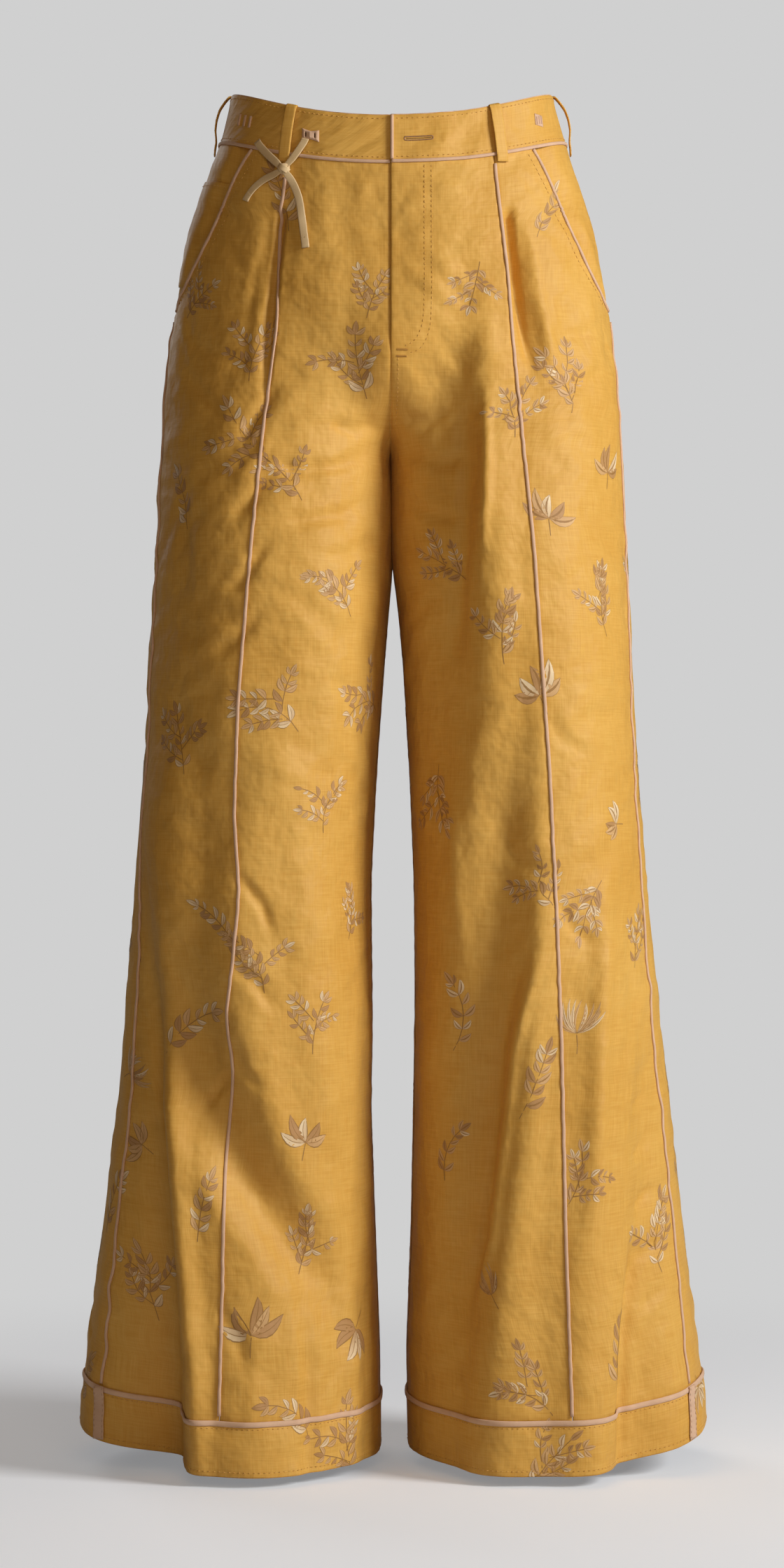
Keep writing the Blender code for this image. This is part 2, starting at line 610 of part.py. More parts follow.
def centre_loop(left, right, profile, cloth):
    """The loop at the centre back reaches onto both halves."""
    below, lift = np.array(profile, float).T
    half = LOOP_WIDTH / 2
    layers = []
    for extra in (LOOP_THICK, 0):
        columns = [place(s, below, read(s["girth"], s, below) - off, lift + extra)
                   for s, off in ((left, half), (left, 0), (right, half))]
        layers.append(np.stack(columns, axis=1))
    wall("belt_loop_back", layers[0], layers[1], cloth)


def tie(surface, cream, blush):
    """A flat tape from its tack on the waistband to a knot, with one short end and two tails."""
    away, top, bottom, width = TACK
    columns = find_across(surface, (top + bottom) / 2, away) + np.array([-0.5, 0, 0.5]) * width
    rows = [top, (top + bottom) / 2, bottom]
    panel("tie_tack", surface, rows, np.full((3, 3), columns), 0.5, 1.8, blush)
    for name, path in TIE.items():
        tape(name, surface, path, cream)
    across = find_across(surface, KNOT_DEPTH, KNOT_ACROSS)
    middle = place(surface, KNOT_DEPTH, across, KNOT_LIFT) * 0.001
    bpy.ops.mesh.primitive_uv_sphere_add(segments=12, ring_count=8, radius=1,
                                         location=middle.tolist())
    knot = bpy.context.object
    knot.name = knot.data.name = "tie_knot"
    knot.scale = [size / 2 * 0.001 for size in KNOT_SIZE]
    bpy.ops.object.transform_apply(location=False, rotation=False, scale=True)
    knot.data.materials.append(cream)
    knot.data.shade_smooth()
    for old in list(knot.users_collection):
        old.objects.unlink(knot)
    pants.objects.link(knot)


def linear(channel):
    return channel / 12.92 if channel <= 0.04045 else ((channel + 0.055) / 1.055) ** 2.4


def make_material(name):
    colour, rough = MATERIALS[name]
    material = bpy.data.materials.new(name)
    material.use_nodes = True
    shader = material.node_tree.nodes["Principled BSDF"]
    shader.inputs["Base Color"].default_value = (*[linear(c) for c in colour], 1)
    shader.inputs["Roughness"].default_value = rough
    shader.inputs["Metallic"].default_value = 0
    return material


clear_scene()
pants = bpy.data.collections.new("palazzo_pants")
bpy.context.scene.collection.children.link(pants)
linen, blush_tape, cream_tie = (make_material(name) for name in MATERIALS)
right_half = make_surface("right")
left_half = make_surface("left", overlap=True)
left_under = make_surface("left")
for side_name, half_surface in (("left", left_half), ("right", right_half)):
    leg_panels(side_name, half_surface, left_under, linen)
    hem_pieces(side_name, half_surface, linen, blush_tape)
    leg_piping(side_name, half_surface, blush_tape)
waist_pieces(left_half, right_half, left_under, linen, blush_tape)
belt_loops(left_half, right_half, linen)
tie(right_half, cream_tie, blush_tape)
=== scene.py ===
import bpy
import numpy as np
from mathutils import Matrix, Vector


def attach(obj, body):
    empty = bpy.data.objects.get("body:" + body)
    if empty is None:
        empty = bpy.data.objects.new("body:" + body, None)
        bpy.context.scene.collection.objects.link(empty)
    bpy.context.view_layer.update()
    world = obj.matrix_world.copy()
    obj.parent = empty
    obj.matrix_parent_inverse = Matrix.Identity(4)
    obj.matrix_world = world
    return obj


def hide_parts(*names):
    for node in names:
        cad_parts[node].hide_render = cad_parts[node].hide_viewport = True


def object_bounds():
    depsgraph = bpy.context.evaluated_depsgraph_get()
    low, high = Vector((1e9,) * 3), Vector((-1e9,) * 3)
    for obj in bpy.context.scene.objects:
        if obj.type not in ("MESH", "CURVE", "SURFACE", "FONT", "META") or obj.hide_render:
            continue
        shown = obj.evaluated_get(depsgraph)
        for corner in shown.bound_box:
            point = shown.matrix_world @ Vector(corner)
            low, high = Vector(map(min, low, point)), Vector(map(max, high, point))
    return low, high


# Palazzo pants in printed mustard linen. Everything is worked out in millimetres on the
# garment's own surface and made metres when it goes into a mesh.
# left and right are the wearer's; the front faces -Y.

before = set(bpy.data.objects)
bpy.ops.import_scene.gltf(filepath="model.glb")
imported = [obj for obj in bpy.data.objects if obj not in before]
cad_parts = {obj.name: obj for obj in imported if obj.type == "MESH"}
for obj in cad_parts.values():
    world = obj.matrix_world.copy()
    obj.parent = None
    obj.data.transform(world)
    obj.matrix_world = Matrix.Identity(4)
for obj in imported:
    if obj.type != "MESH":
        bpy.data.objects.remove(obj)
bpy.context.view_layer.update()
print("frame loaded")

view = {"distance": 3.2, "height": -0.537, "aside": 0.0011, "tall": 1.22752, "sensor": 36}


def addCamera():
    data = bpy.data.cameras.new("camera")
    data.sensor_fit, data.sensor_height = "VERTICAL", view["sensor"]
    # "tall" is how many metres of height the frame takes in at the garment
    data.lens = view["distance"] * view["sensor"] / view["tall"]
    camera = bpy.data.objects.new("camera", data)
    camera.location = (view["aside"], -view["distance"], view["height"])
    camera.rotation_euler = (np.pi / 2, 0, 0)
    bpy.context.scene.collection.objects.link(camera)
    bpy.context.scene.camera = camera


addCamera()

# the garment's sizes
cut = {"wall": 1.5, "seam": 0.15, "waistband": 38.0, "length": 1035.0, "hemBand": 39.0,
       "hemStep": 0.6, "flyEnd": 200.0, "overlap": 30.0, "overlapLift": 1.9, "overlapFade": 25.0,
       "flyUnder": 8.0, "flyTaper": 188.0, "seamUnder": 1.0, "crotch": 295.0,
       "crotchStart": 200.0, "legStart": 150.0, "legTurn": 230.0, "frontDip": 28.0,
       "backDip": 4.0, "dipEnd": 250.0, "hemDrop": 17.0, "hemTilt": 6.0, "dropStart": 700.0,
       "pocketEnd": 176.0, "pocketTuck": 14.0, "pocketSet": 3.3}
hemTop = cut["length"] - cut["hemBand"]
ringParts = (150, 600, 150)    # points before the front line, on to the back line, and after it
anchor = 60.0                  # those two lines run this far from the centre line
ringPoints = sum(ringParts)
rowStep = 2.5
crotchRows = [291, 293, 294, 294.6, cut["crotch"]]
# the shape of a ring; those named near are shares of the way round: how far the crotch seam's
# curve reaches, where the softening over 42 mm of depth begins and where the wrinkles do, and
# how wide the part at the side is where the hem doesn't drop
section = {"torsoPower": 2.2, "legPower": 2.3, "seamCurve": 1.8, "seamNear": 0.05,
           "soften": 42, "softenNear": 0.06, "wrinkleNear": 0.035, "sideNear": 0.13}
# the waves in the upper waistband end: their size, and how far from its edge they lie
buckle = {"high": 0.9, "long": 46, "slant": 9, "middle": 44, "reach": 26}

# depth below the waist, how far each leg reaches out and in, and the front and back depths
outline = {
    "below": [0, 38, 66, 110, 153, 197, 241, 295, 340, 360, 395, 438, 526, 614, 701, 789, 877,
              964, 1035],
    "rightOut": [124, 133, 144, 158, 166, 172, 177, 181, 183, 184, 186, 188, 192, 198, 207, 214,
                 224, 235, 244],
    "rightIn": [0, 0, 0, 0, 0, 0, 0.2, -0.6, -2.6, -2.4, 0.6, 4.2, 10.5, 15, 14, 15, 11.5, 8, 8],
    "leftIn": [0, 0, 0, 0, 0, 0, 0.2, -0.6, -0.6, 0.2, 5, 9.2, 14.5, 18, 19, 17.5, 15.5, 12, 14],
    "leftOut": [126, 137, 146, 160, 167, 173, 179, 182, 184, 185, 188, 190, 194, 201, 210, 219,
                228, 240, 248],
    "front": [92, 96, 99, 104, 108, 111, 113, 116, 118, 118, 118, 118, 117, 117, 118, 120, 122,
              126, 129],
    "back": [95, 99, 106, 116, 125, 129, 128, 122, 118, 117, 114, 111, 107, 106, 107, 110, 114,
             119, 123],
}
crease = {
    "right": [(50, 79), (73, 80), (107, 84), (188, 86), (262, 96), (363, 106), (473, 115),
              (560, 118), (619, 114), (673, 119), (712, 124), (755, 118), (822, 125),
              (932, 127), (1060, 130)],
    "left": [(50, 79), (71, 80), (149, 89), (190, 92), (262, 99), (354, 108), (456, 115),
             (526, 120), (627, 125), (729, 129), (873, 132), (1060, 138)],
}
pocketLine = [(38, 71), (66, 65), (102, 61), (120, 56), (138, 47), (150, 38), (160, 26),
              (168, 13), (176, 0)]
sideLine = [(0, 0), (180, 0), (264, 24), (526, 40), (690, 50), (870, 50), (960, 56), (1060, 61)]

# the large folds of each leg and face: points of (distance from the centre line, depth,
# half-width, height), the height negative in a trough
largeFolds = {
    ("right", "front"): [
        [(182, 578, 10, 0), (186, 766, 24, -11), (187, 876, 34, -27), (190, 1035, 48, -52)],
        [(172, 600, 26, 0), (160, 690, 38, -7), (143, 752, 44, -15), (110, 824, 48, -22),
         (64, 884, 42, -17), (28, 950, 34, 0)],
        [(166, 480, 24, 0), (168, 560, 30, 9), (170, 640, 30, 9), (176, 720, 24, 0)],
        [(104, 500, 30, 0), (112, 640, 38, 8), (104, 740, 36, 8), (84, 840, 30, 0)],
        [(90, 480, 34, 0), (66, 640, 44, 8), (48, 760, 40, 5), (40, 830, 30, 0)],
        [(91, 98, 6, 0), (93, 112, 9, -4), (98, 150, 13, -4), (104, 220, 16, 0)],
        [(100, 860, 40, 0), (95, 1035, 55, 10)]],
    ("left", "front"): [
        [(50, 130, 24, 0), (46, 280, 32, -8), (36, 460, 30, -7), (34, 620, 26, 0)],
        [(74, 160, 22, 0), (76, 300, 28, 7), (80, 440, 26, 4), (84, 560, 24, 0)],
        [(94, 98, 8, 0), (99, 125, 13, -6), (105, 190, 17, -5), (112, 270, 18, 0)],
        [(98, 430, 22, 0), (84, 560, 32, -10), (74, 680, 42, -17), (68, 780, 46, -21),
         (52, 880, 44, -18), (38, 980, 36, -8)],
        [(120, 600, 24, 0), (96, 738, 30, 8), (84, 880, 34, 9), (80, 1035, 40, 6)],
        [(166, 560, 20, 0), (160, 760, 26, 6), (150, 900, 28, 5), (146, 1035, 30, 4)],
        [(196, 700, 12, 0), (196, 905, 26, -10), (192, 1035, 40, -22)]],
    ("right", "back"): [
        [(120, 330, 26, 0), (126, 620, 38, -12), (134, 1035, 48, -20)],
        [(60, 380, 30, 0), (62, 700, 36, 8), (64, 1035, 44, 12)]],
    ("left", "back"): [
        [(128, 360, 26, 0), (134, 700, 38, -13), (140, 1035, 46, -18)],
        [(70, 420, 28, 0), (64, 760, 34, -9), (60, 1035, 40, -12)]],
}
# the smaller creases: half-width, height, and points of (distance from the centre line,
# depth below the waist)
creases = {
    ("right", "front"): [
        (6, -3.6, [(82.8, 80), (83.4, 88), (84, 96), (85, 104), (89, 149), (94, 219), (98, 262)]),
        (8, 1.5, [(94, 103), (101, 179), (107, 240)]),
        (8, -1.8, [(83, 230), (105, 262), (117, 283)]),
        (8, -1.5, [(84, 293), (109, 325), (120, 338)]),
        (8, 1.2, [(85, 267), (107, 298), (118, 309)]),
        (8, -1.6, [(88, 346), (112, 383), (126, 394)]),
        (8, -1.3, [(91, 399), (115, 426), (136, 436)]),
        (9, -2.4, [(3, 278), (41, 296), (73, 300), (88, 293)]),
        (9, -2.0, [(3, 311), (36, 333), (67, 338), (88, 333)]),
        (9, -1.5, [(3, 342), (30, 362), (57, 368)]),
        (8, -1.8, [(3, 258), (28, 267), (49, 262)]),
        (16, 4.5, [(176, 600), (170, 762), (160, 863), (148, 956), (145, 1100)]),
        (9, -2.2, [(188, 632), (184, 762), (176, 863), (164, 956), (160, 1100)]),
        (7, -1.9, [(118, 601), (98, 627), (86, 659)]),
        (7, -1.6, [(120, 675), (105, 685), (83, 712)]),
        (7, -1.6, [(121, 727), (110, 753), (94, 768)]),
        (7, -1.5, [(118, 754), (136, 768), (152, 788)]),
        (9, -1.5, [(136, 909), (115, 934), (107, 973)]),
        (10, -1.7, [(67, 899), (62, 963), (63, 1120)]),
        (10, 1.6, [(36, 875), (28, 934), (30, 1120)]),
        (12, -1.3, [(163, 283), (156, 346), (159, 421)]),
        (10, -1.3, [(168, 452), (156, 500), (136, 532)]),
        (9, -1.3, [(156, 193), (136, 208), (112, 211)]),
        (8, -1.1, [(159, 219), (142, 241), (126, 262)])],
    ("left", "front"): [
        (6, -4.6, [(89.3, 81), (89.9, 89), (90.5, 97), (91.4, 105), (97, 150), (103, 196),
            (111, 232)]),
        (9, 1.6, [(101, 104), (112, 169), (124, 219)]),
        (8, -2.2, [(3, 278), (33, 293), (54, 288)]),
        (8, -1.9, [(3, 311), (29, 333), (49, 336)]),
        (8, -1.6, [(3, 252), (25, 262), (44, 251)]),
        (9, -1.3, [(3, 347), (30, 368), (54, 368)]),
        (8, 2.2, [(72, 230), (73, 304), (69, 378)]),
        (14, -3.0, [(57, 230), (57, 304), (50, 383), (43, 463)]),
        (9, 3.0, [(119, 636), (92, 737), (75, 871), (57, 925)]),
        (12, -3.0, [(108, 636), (80, 737), (63, 871), (44, 924)]),
        (12, 2.0, [(164, 595), (157, 737), (151, 880)]),
        (5, -1.3, [(198, 773), (184, 784)]),
        (5, -1.4, [(201, 807), (186, 819)]),
        (5, -1.4, [(206, 841), (189, 857)]),
        (6, -1.5, [(211, 880), (195, 894)]),
        (6, -1.3, [(215, 914), (200, 928)]),
        (12, -4.0, [(196, 865), (189, 909), (184, 948), (183, 1100)]),
        (8, -1.4, [(166, 177), (147, 193), (128, 192)]),
        (8, -1.1, [(170, 209), (150, 230), (128, 233)]),
        (9, -1.3, [(115, 484), (134, 505), (155, 516)]),
        (9, -1.3, [(75, 569), (97, 595), (120, 606)]),
        (8, -1.4, [(124, 622), (139, 648), (155, 659)]),
        (9, 1.2, [(44, 526), (49, 606), (52, 685)])],
    ("right", "back"): [
        (10, -2.4, [(3, 300), (60, 332), (120, 330)]),
        (9, -1.8, [(3, 335), (70, 372), (130, 362)]),
        (9, 1.4, [(10, 318), (66, 350), (120, 346)]),
        (9, -1.4, [(90, 560), (120, 585), (160, 590)]),
        (8, -1.3, [(60, 640), (95, 668), (140, 664)]),
        (12, 2.0, [(96, 700), (92, 860), (96, 1100)]),
        (9, -1.3, [(20, 120), (60, 160), (90, 230)])],
    ("left", "back"): [
        (10, -2.2, [(3, 302), (64, 336), (126, 324)]),
        (9, -1.7, [(3, 340), (66, 380), (120, 372)]),
        (9, 1.3, [(10, 322), (60, 356), (116, 350)]),
        (9, -1.3, [(80, 540), (116, 570), (164, 566)]),
        (8, -1.4, [(50, 655), (92, 690), (150, 684)]),
        (12, 1.9, [(100, 720), (104, 880), (100, 1100)]),
        (9, -1.2, [(24, 130), (58, 170), (84, 236)])],
}
creaseScale = 1.75
creaseEnds = 0.3                             # the share of its length over which a crease ends
faceFade = {"fold": 0.3, "crease": 0.2}      # how soon they begin round from the sides
# wrinkles left from wear: size across and along a wrinkle, the turn of its length from
# upright, its height, and how far apart the rumpled patches lie (0 where it is all over)
rumple = [(95, 150, 0, 1.2, 0), (42, 70, 0.3, 0.6, 0), (19, 26, 0, 0.22, 0),
          (15, 95, 0.10, 1.25, 120), (11, 60, -0.75, 0.95, 95), (10, 52, 0.85, 0.9, 105),
          (8, 40, 1.45, 0.6, 80)]
# how far the wrinkles bend and over what distance, the mean strength of a patch and how much it
# varies, and where they start below the waist; the noise is read over "round" millimetres of
# each half, and the left half's starts "between" further on
worn = {"bend": 12, "bendOver": 70, "mean": 0.35, "varies": 1.5, "from": 34, "over": 30,
        "round": 460, "between": 700}


def smooth(value):
    value = np.clip(value, 0, 1)
    return value * value * (3 - 2 * value)


def hump(share):
    # half a cosine wave: 1 at 0, and 0 from 1 on
    return 0.5 + 0.5 * np.cos(np.pi * np.minimum(share, 1))


def onFace(face, t, fade):
    # 1 on one face of a leg and 0 on the other
    return smooth((1 if face == "front" else -1) * np.sin(2 * np.pi * t) / fade)


def unit(vectors):
    return vectors / np.linalg.norm(vectors, axis=-1, keepdims=True)


def runOf(line):
    # how far along a line each point lies
    return np.concatenate([[0], np.cumsum(np.linalg.norm(np.diff(line, axis=0), axis=1))])


def along(below, depths, values, soften=18):
    # the table read at each depth, its corners rounded by averaging seven shifted readings
    shifts = np.linspace(-soften, soften, 7)
    return sum(np.interp(below + d, depths, values) for d in shifts) / len(shifts)


def softNoise(u, v, seed):
    # random heights on a square lattice, blended with a smooth step between its points
    lattice = np.random.default_rng(seed).uniform(-1, 1, (64, 64))
    i, j = np.floor(u).astype(int), np.floor(v).astype(int)
    f, g = smooth(u - i), smooth(v - j)
    i, j = i % 63, j % 63
    low = lattice[i, j] * (1 - f) + lattice[i + 1, j] * f
    high = lattice[i, j + 1] * (1 - f) + lattice[i + 1, j + 1] * f
    return low * (1 - g) + high * g


def largeFoldHeight(leg, x, below, t):
    # across a fold the height follows half a cosine wave
    total = np.zeros_like(x)
    for face in ("front", "back"):
        for path in largeFolds[leg, face]:
            middle, depth, half, height = np.array(path, float).T
            off = np.abs(x - along(below, depth, middle)) / along(below, depth, half)
            bump = hump(off) * along(below, depth, height) * onFace(face, t, faceFade["fold"])
            total += np.where((below > depth[0] - 20) & (off < 1), bump, 0)
    return total


def creaseHeight(leg, x, below, t):
    # the distance to a crease's nearest segment sets the height, which fades at its ends
    total = np.zeros_like(x)
    for face, half, height, path in [(face, *each) for face in ("front", "back")
                                     for each in creases[leg, face]]:
        points = np.array(path, float)
        rows = ((below[:, 0] > points[:, 1].min() - half)
                & (below[:, 0] < points[:, 1].max() + half))
        px, pb = x[rows], below[rows]
        nearest, share = np.full(px.shape, 1e9), np.zeros(px.shape)
        count = len(points) - 1
        for k in range(count):
            start, run = points[k], points[k + 1] - points[k]
            s = np.clip(((px - start[0]) * run[0] + (pb - start[1]) * run[1]) / (run @ run), 0, 1)
            away = np.hypot(px - start[0] - s * run[0], pb - start[1] - s * run[1])
            closer = away < nearest
            nearest = np.where(closer, away, nearest)
            share = np.where(closer, (k + s) / count, share)
        fade = smooth(share / creaseEnds) * smooth((1 - share) / creaseEnds)
        total[rows] += (creaseScale * height * fade * hump(nearest / half)
                        * onFace(face, t, faceFade["crease"]))
    return total


def wrinkles(u, v):
    # noise stretched along each wrinkle, bent by a slower noise and gathered into patches
    total = np.zeros_like(u)
    bend = worn["bend"] * softNoise(u / worn["bendOver"], v / worn["bendOver"], 40)
    for k, (wide, tall, turn, high, patch) in enumerate(rumple):
        c, s = np.cos(turn), np.sin(turn)
        noise = softNoise(40 + (c * u + s * v + bend) / wide, 40 + (c * v - s * u) / tall, 11 + k)
        if patch:
            gathered = softNoise(u / patch, v / patch, 60 + k)
            noise *= smooth(worn["mean"] + worn["varies"] * gathered)
        total += high * noise
    return total


def plainRing(leg, t, b):
    # half a torso above the crotch and a whole leg below it, both superellipses
    out, inner, front, back = (along(b, outline["below"], outline[name], 12)
                               for name in (leg + "Out", leg + "In", "front", "back"))
    turn, power = np.pi * t, 2 / section["torsoPower"]
    torsoX = out * np.sin(turn) ** power
    torsoY = np.where(t < 0.5, -front, back) * np.abs(np.cos(turn)) ** power
    across, deep = np.cos(2 * np.pi * t), np.sin(2 * np.pi * t)
    fuller = np.where(across > 0, 2 / section["legPower"], 1)
    legX = (out + inner) / 2 - (out - inner) / 2 * np.sign(across) * np.abs(across) ** fuller
    legY = -np.where(deep > 0, front, back) * np.sign(deep) * np.abs(deep) ** fuller
    curve = np.clip((b - cut["crotchStart"]) / (cut["crotch"] - cut["crotchStart"]), 0, 1)
    nearSeam = np.exp(-(np.minimum(t, 1 - t) / section["seamNear"]) ** 2)
    change = (nearSeam * curve ** section["seamCurve"]
              + (1 - nearSeam) * smooth((b - cut["legStart"]) / cut["legTurn"]))
    return torsoX + change * (legX - torsoX), torsoY + change * (legY - torsoY)


def ringLength(rings):
    steps = np.linalg.norm(np.diff(rings, axis=1), axis=2)
    return np.concatenate([np.zeros((len(rings), 1)), np.cumsum(steps, axis=1)], axis=1)


def evenSteps(rings):
    # even steps in each part, so that the points stay in line from ring to ring also where
    # the crotch makes the rings suddenly longer
    even = []
    for ring, s in zip(rings, ringLength(rings)):
        far = np.nonzero(ring[:, 0] > anchor)[0]
        i, j = far[0], far[-1]
        front = np.interp(anchor, ring[i - 1:i + 1, 0], s[i - 1:i + 1])
        back = np.interp(-anchor, -ring[j:j + 2, 0], s[j:j + 2])
        wanted = np.concatenate([np.linspace(0, front, ringParts[0], endpoint=False),
                                 np.linspace(front, back, ringParts[1], endpoint=False),
                                 np.linspace(back, s[-1], ringParts[2])])
        even.append(np.stack([np.interp(wanted, s, ring[:, k]) for k in range(3)], axis=1))
    return np.stack(even)


def outward(rings, below):
    # the normals, the same for both halves where they meet at a seam
    n = unit(np.cross(np.gradient(rings, below, axis=0), np.gradient(rings, axis=1)))
    legs = below >= cut["crotch"]
    n[legs, 0] = n[legs, -1] = n[legs, 0] + n[legs, -1]
    n[~legs, 0, 0] = n[~legs, -1, 0] = 0
    for edge in (0, -1):
        n[:, edge] = unit(n[:, edge])
    return n


def overlapHeight(round_, b):
    # the upper front is lifted over the lower one, and its waistband buckles a little
    fade = cut["overlapFade"]
    lift = (cut["overlapLift"] * (1 - smooth((round_ - cut["overlap"] - 4) / fade))
            * (1 - smooth((b - cut["flyEnd"] + 12) / fade)))
    band = cut["waistband"]
    wave = np.sin(2 * np.pi * round_ / buckle["long"] + b / buckle["slant"])
    wave = buckle["high"] * wave * np.sin(np.pi * np.clip(b / band, 0, 1)) * (b < band)
    return lift + wave * np.exp(-((round_ - buckle["middle"]) / buckle["reach"]) ** 2)


def makeHalf(leg, overlap=False):
    # rings at each depth from the centre front round the side to the centre back, and below
    # the crotch from the inseam all round the leg
    below = np.unique(np.concatenate([np.arange(0, cut["length"] + 1, rowStep), crotchRows]))
    t, b = np.linspace(0, 1, ringPoints)[None, :], below[:, None]
    toSeam = np.minimum(t, 1 - t)
    soften = section["soften"] * (1 - np.exp(-(toSeam / section["softenNear"]) ** 2))
    soften = soften * smooth((b - 60) / 120)
    near = [plainRing(leg, t, b + share * soften) for share in np.linspace(-1, 1, 9)]
    x, y = (sum(ring[k] for ring in near) / len(near) for k in (0, 1))
    dx, dy = np.gradient(x, axis=1), np.gradient(y, axis=1)
    size = np.hypot(dx, dy)
    away = smooth(toSeam / section["wrinkleNear"])    # the two halves agree at their seams
    height = largeFoldHeight(leg, x, b, t) + creaseHeight(leg, x, b, t) * away
    u = t * worn["round"] + worn["between"] * (leg == "left") + 0 * b
    height = height + (wrinkles(u, b + 0 * t) * away
                       * smooth((b - worn["from"]) / worn["over"]))
    x, y = x + height * dy / size, y - height * dx / size
    dip = np.cos(np.pi * t) ** 2 * np.where(t < 0.5, cut["frontDip"], cut["backDip"])
    drop = cut["hemDrop"] + cut["hemTilt"] * np.sin(2 * np.pi * t)
    drop = drop * (1 - np.exp(-((t - 0.5) / section["sideNear"]) ** 2))
    z = (-b - dip * (1 - smooth(b / cut["dipEnd"]))
         - drop * smooth((b - cut["dropStart"]) / (cut["length"] - cut["dropStart"])))
    rings = evenSteps(np.stack([x, y, z + 0 * x], axis=2))
    if overlap:
        lift = overlapHeight(ringLength(rings), b)
        rings = evenSteps(rings + lift[:, :, None] * outward(rings, below))
    round_ = ringLength(rings)
    half = {"below": below, "points": rings, "outward": outward(rings, below), "leg": leg,
            "round": round_, "front": round_[:, ringParts[0]],
            "back": round_[:, ringParts[0] + ringParts[1]], "girth": round_[:, -1]}
    findSeams(half, leg)
    if leg == "right":
        half["points"] = half["points"] * (-1, 1, 1)
        half["outward"] = half["outward"] * (-1, 1, 1)
    return half


def findSeams(half, leg):
    points, round_ = half["points"], half["round"]
    x, y, depth = points[:, :, 0], points[:, :, 1], -points[:, :, 2]
    row = np.arange(len(points))

    def crossing(value, allowed):    # where the value first reaches nought
        i = np.maximum(np.argmax((value >= 0) & allowed, axis=1), 1)
        before, after = value[row, i - 1], value[row, i]
        share = np.clip(-before / np.maximum(after - before, 1e-9), 0, 1)
        return round_[row, i - 1] + share * (round_[row, i] - round_[row, i - 1])

    def settled(values, rows):    # a seam is a smooth line, also where the cloth is creased
        padded = np.pad(values - half["front"], rows, mode="edge")
        kernel = np.hanning(2 * rows + 3)[1:-1]
        return half["front"] + np.convolve(padded, kernel / kernel.sum(), mode="valid")

    def lineAt(path, below, soften):
        return along(below, *np.array(path, float).T, soften)

    front = round_ < 0.55 * half["girth"][:, None]
    half["crease"] = settled(crossing(x - lineAt(crease[leg], depth, 10), front), 4)
    outer = x > 0.6 * x.max(axis=1)[:, None]
    half["side"] = settled(crossing(y + lineAt(sideLine, depth, 30), outer), 10)
    half["pocket"] = half["side"] - lineAt(pocketLine, half["below"], 4)


def read(half, name, below):
    return np.interp(below, half["below"], half[name])


def place(half, below, across, lift=0.0):
    # the point at a depth and a distance round the ring, lifted square to the cloth
    below, across, lift = np.broadcast_arrays(
        np.asarray(below, float), np.asarray(across, float), np.asarray(lift, float))
    rows = half["below"]
    r = np.clip(np.searchsorted(rows, below, side="right") - 1, 0, len(rows) - 2)
    f = ((below - rows[r]) / (rows[r + 1] - rows[r]))[..., None]
    front, back, girth = ((1 - f[..., 0]) * half[k][r] + f[..., 0] * half[k][r + 1]
                          for k in ("front", "back", "girth"))
    first, middle, last = ringParts
    u = np.where(across < front, np.clip(across / front, 0, 1) * first,
                 np.where(across < back, first + (across - front) / (back - front) * middle,
                          first + middle + np.clip((across - back) / (girth - back), 0, 1)
                          * (last - 1)))
    c = np.minimum(u.astype(int), ringPoints - 2)
    g = (u - c)[..., None]

    def sample(a):
        return ((1 - f) * ((1 - g) * a[r, c] + g * a[r, c + 1])
                + f * ((1 - g) * a[r + 1, c] + g * a[r + 1, c + 1]))

    n = unit(sample(half["outward"]))
    return sample(half["points"]) + lift[..., None] * n


def lineOn(half, below, across, lift):
    # a line on the cloth, and the way out from it at each point
    line = place(half, below, across, lift)
    return line, place(half, below, across, lift + 1) - line


def findAcross(half, below, x):
    # how far round the ring the front reaches a distance from the centre line
    r = int(np.argmin(np.abs(half["below"] - below)))
    reach = np.abs(half["points"][r, :ringPoints // 2, 0])
    return float(np.interp(x, np.maximum.accumulate(reach),
                           half["round"][r, :ringPoints // 2]))


rightHalf = makeHalf("right")
leftHalf = makeHalf("left", overlap=True)
leftUnder = makeHalf("left")
halves = {"left": leftHalf, "right": rightHalf}
print("surface of both halves worked out")

# the print: sprigs strewn over the cloth, at (distance from the centre line, depth) in front
sprigs = {
    "left": [(117, 94), (132, 226), (64, 153), (93, 252), (120, 332), (167, 294), (40, 368),
             (81, 418), (158, 395), (111, 466), (34, 552), (170, 567), (111, 611), (147, 632),
             (188, 653), (58, 721), (141, 721), (108, 766), (40, 816), (147, 827), (200, 876),
             (75, 903), (170, 955), (102, 969), (120, 1020)],
    "right": [(79, 80), (147, 160), (13, 154), (105, 204), (28, 215), (114, 273), (79, 300),
              (156, 324), (39, 384), (88, 472), (19, 466), (159, 501), (52, 549), (129, 640),
              (99, 665), (28, 635), (159, 721), (58, 715), (200, 758), (64, 799), (194, 810),
              (144, 854), (61, 873), (182, 908), (105, 930), (28, 941), (67, 991), (37, 1014)],
}
# how each kind of sprig grows: where its root is, how many leaves it has to a side, how long and
# wide they are and how they lean, and its side twigs as (share of the way up, side)
sprigKinds = {
    "twig": {"root": -18, "pairs": 6, "long": 12.0, "wide": 4.9, "lean": 0.75, "pitch": 6.9,
             "less": 0.35, "twigs": []},
    "spray": {"root": -24, "pairs": 6, "long": 9.8, "wide": 4.2, "lean": 0.75, "pitch": 6.6,
              "less": 0.25, "twigs": [(0.22, 1), (0.40, -1), (0.58, 1)]},
    "palm": {"blades": 5, "long": 20.0, "wide": 7.2, "spread": 2.4},
    "fan": {"blades": 13, "long": 22.0, "wide": 2.2, "spread": 1.7},
}
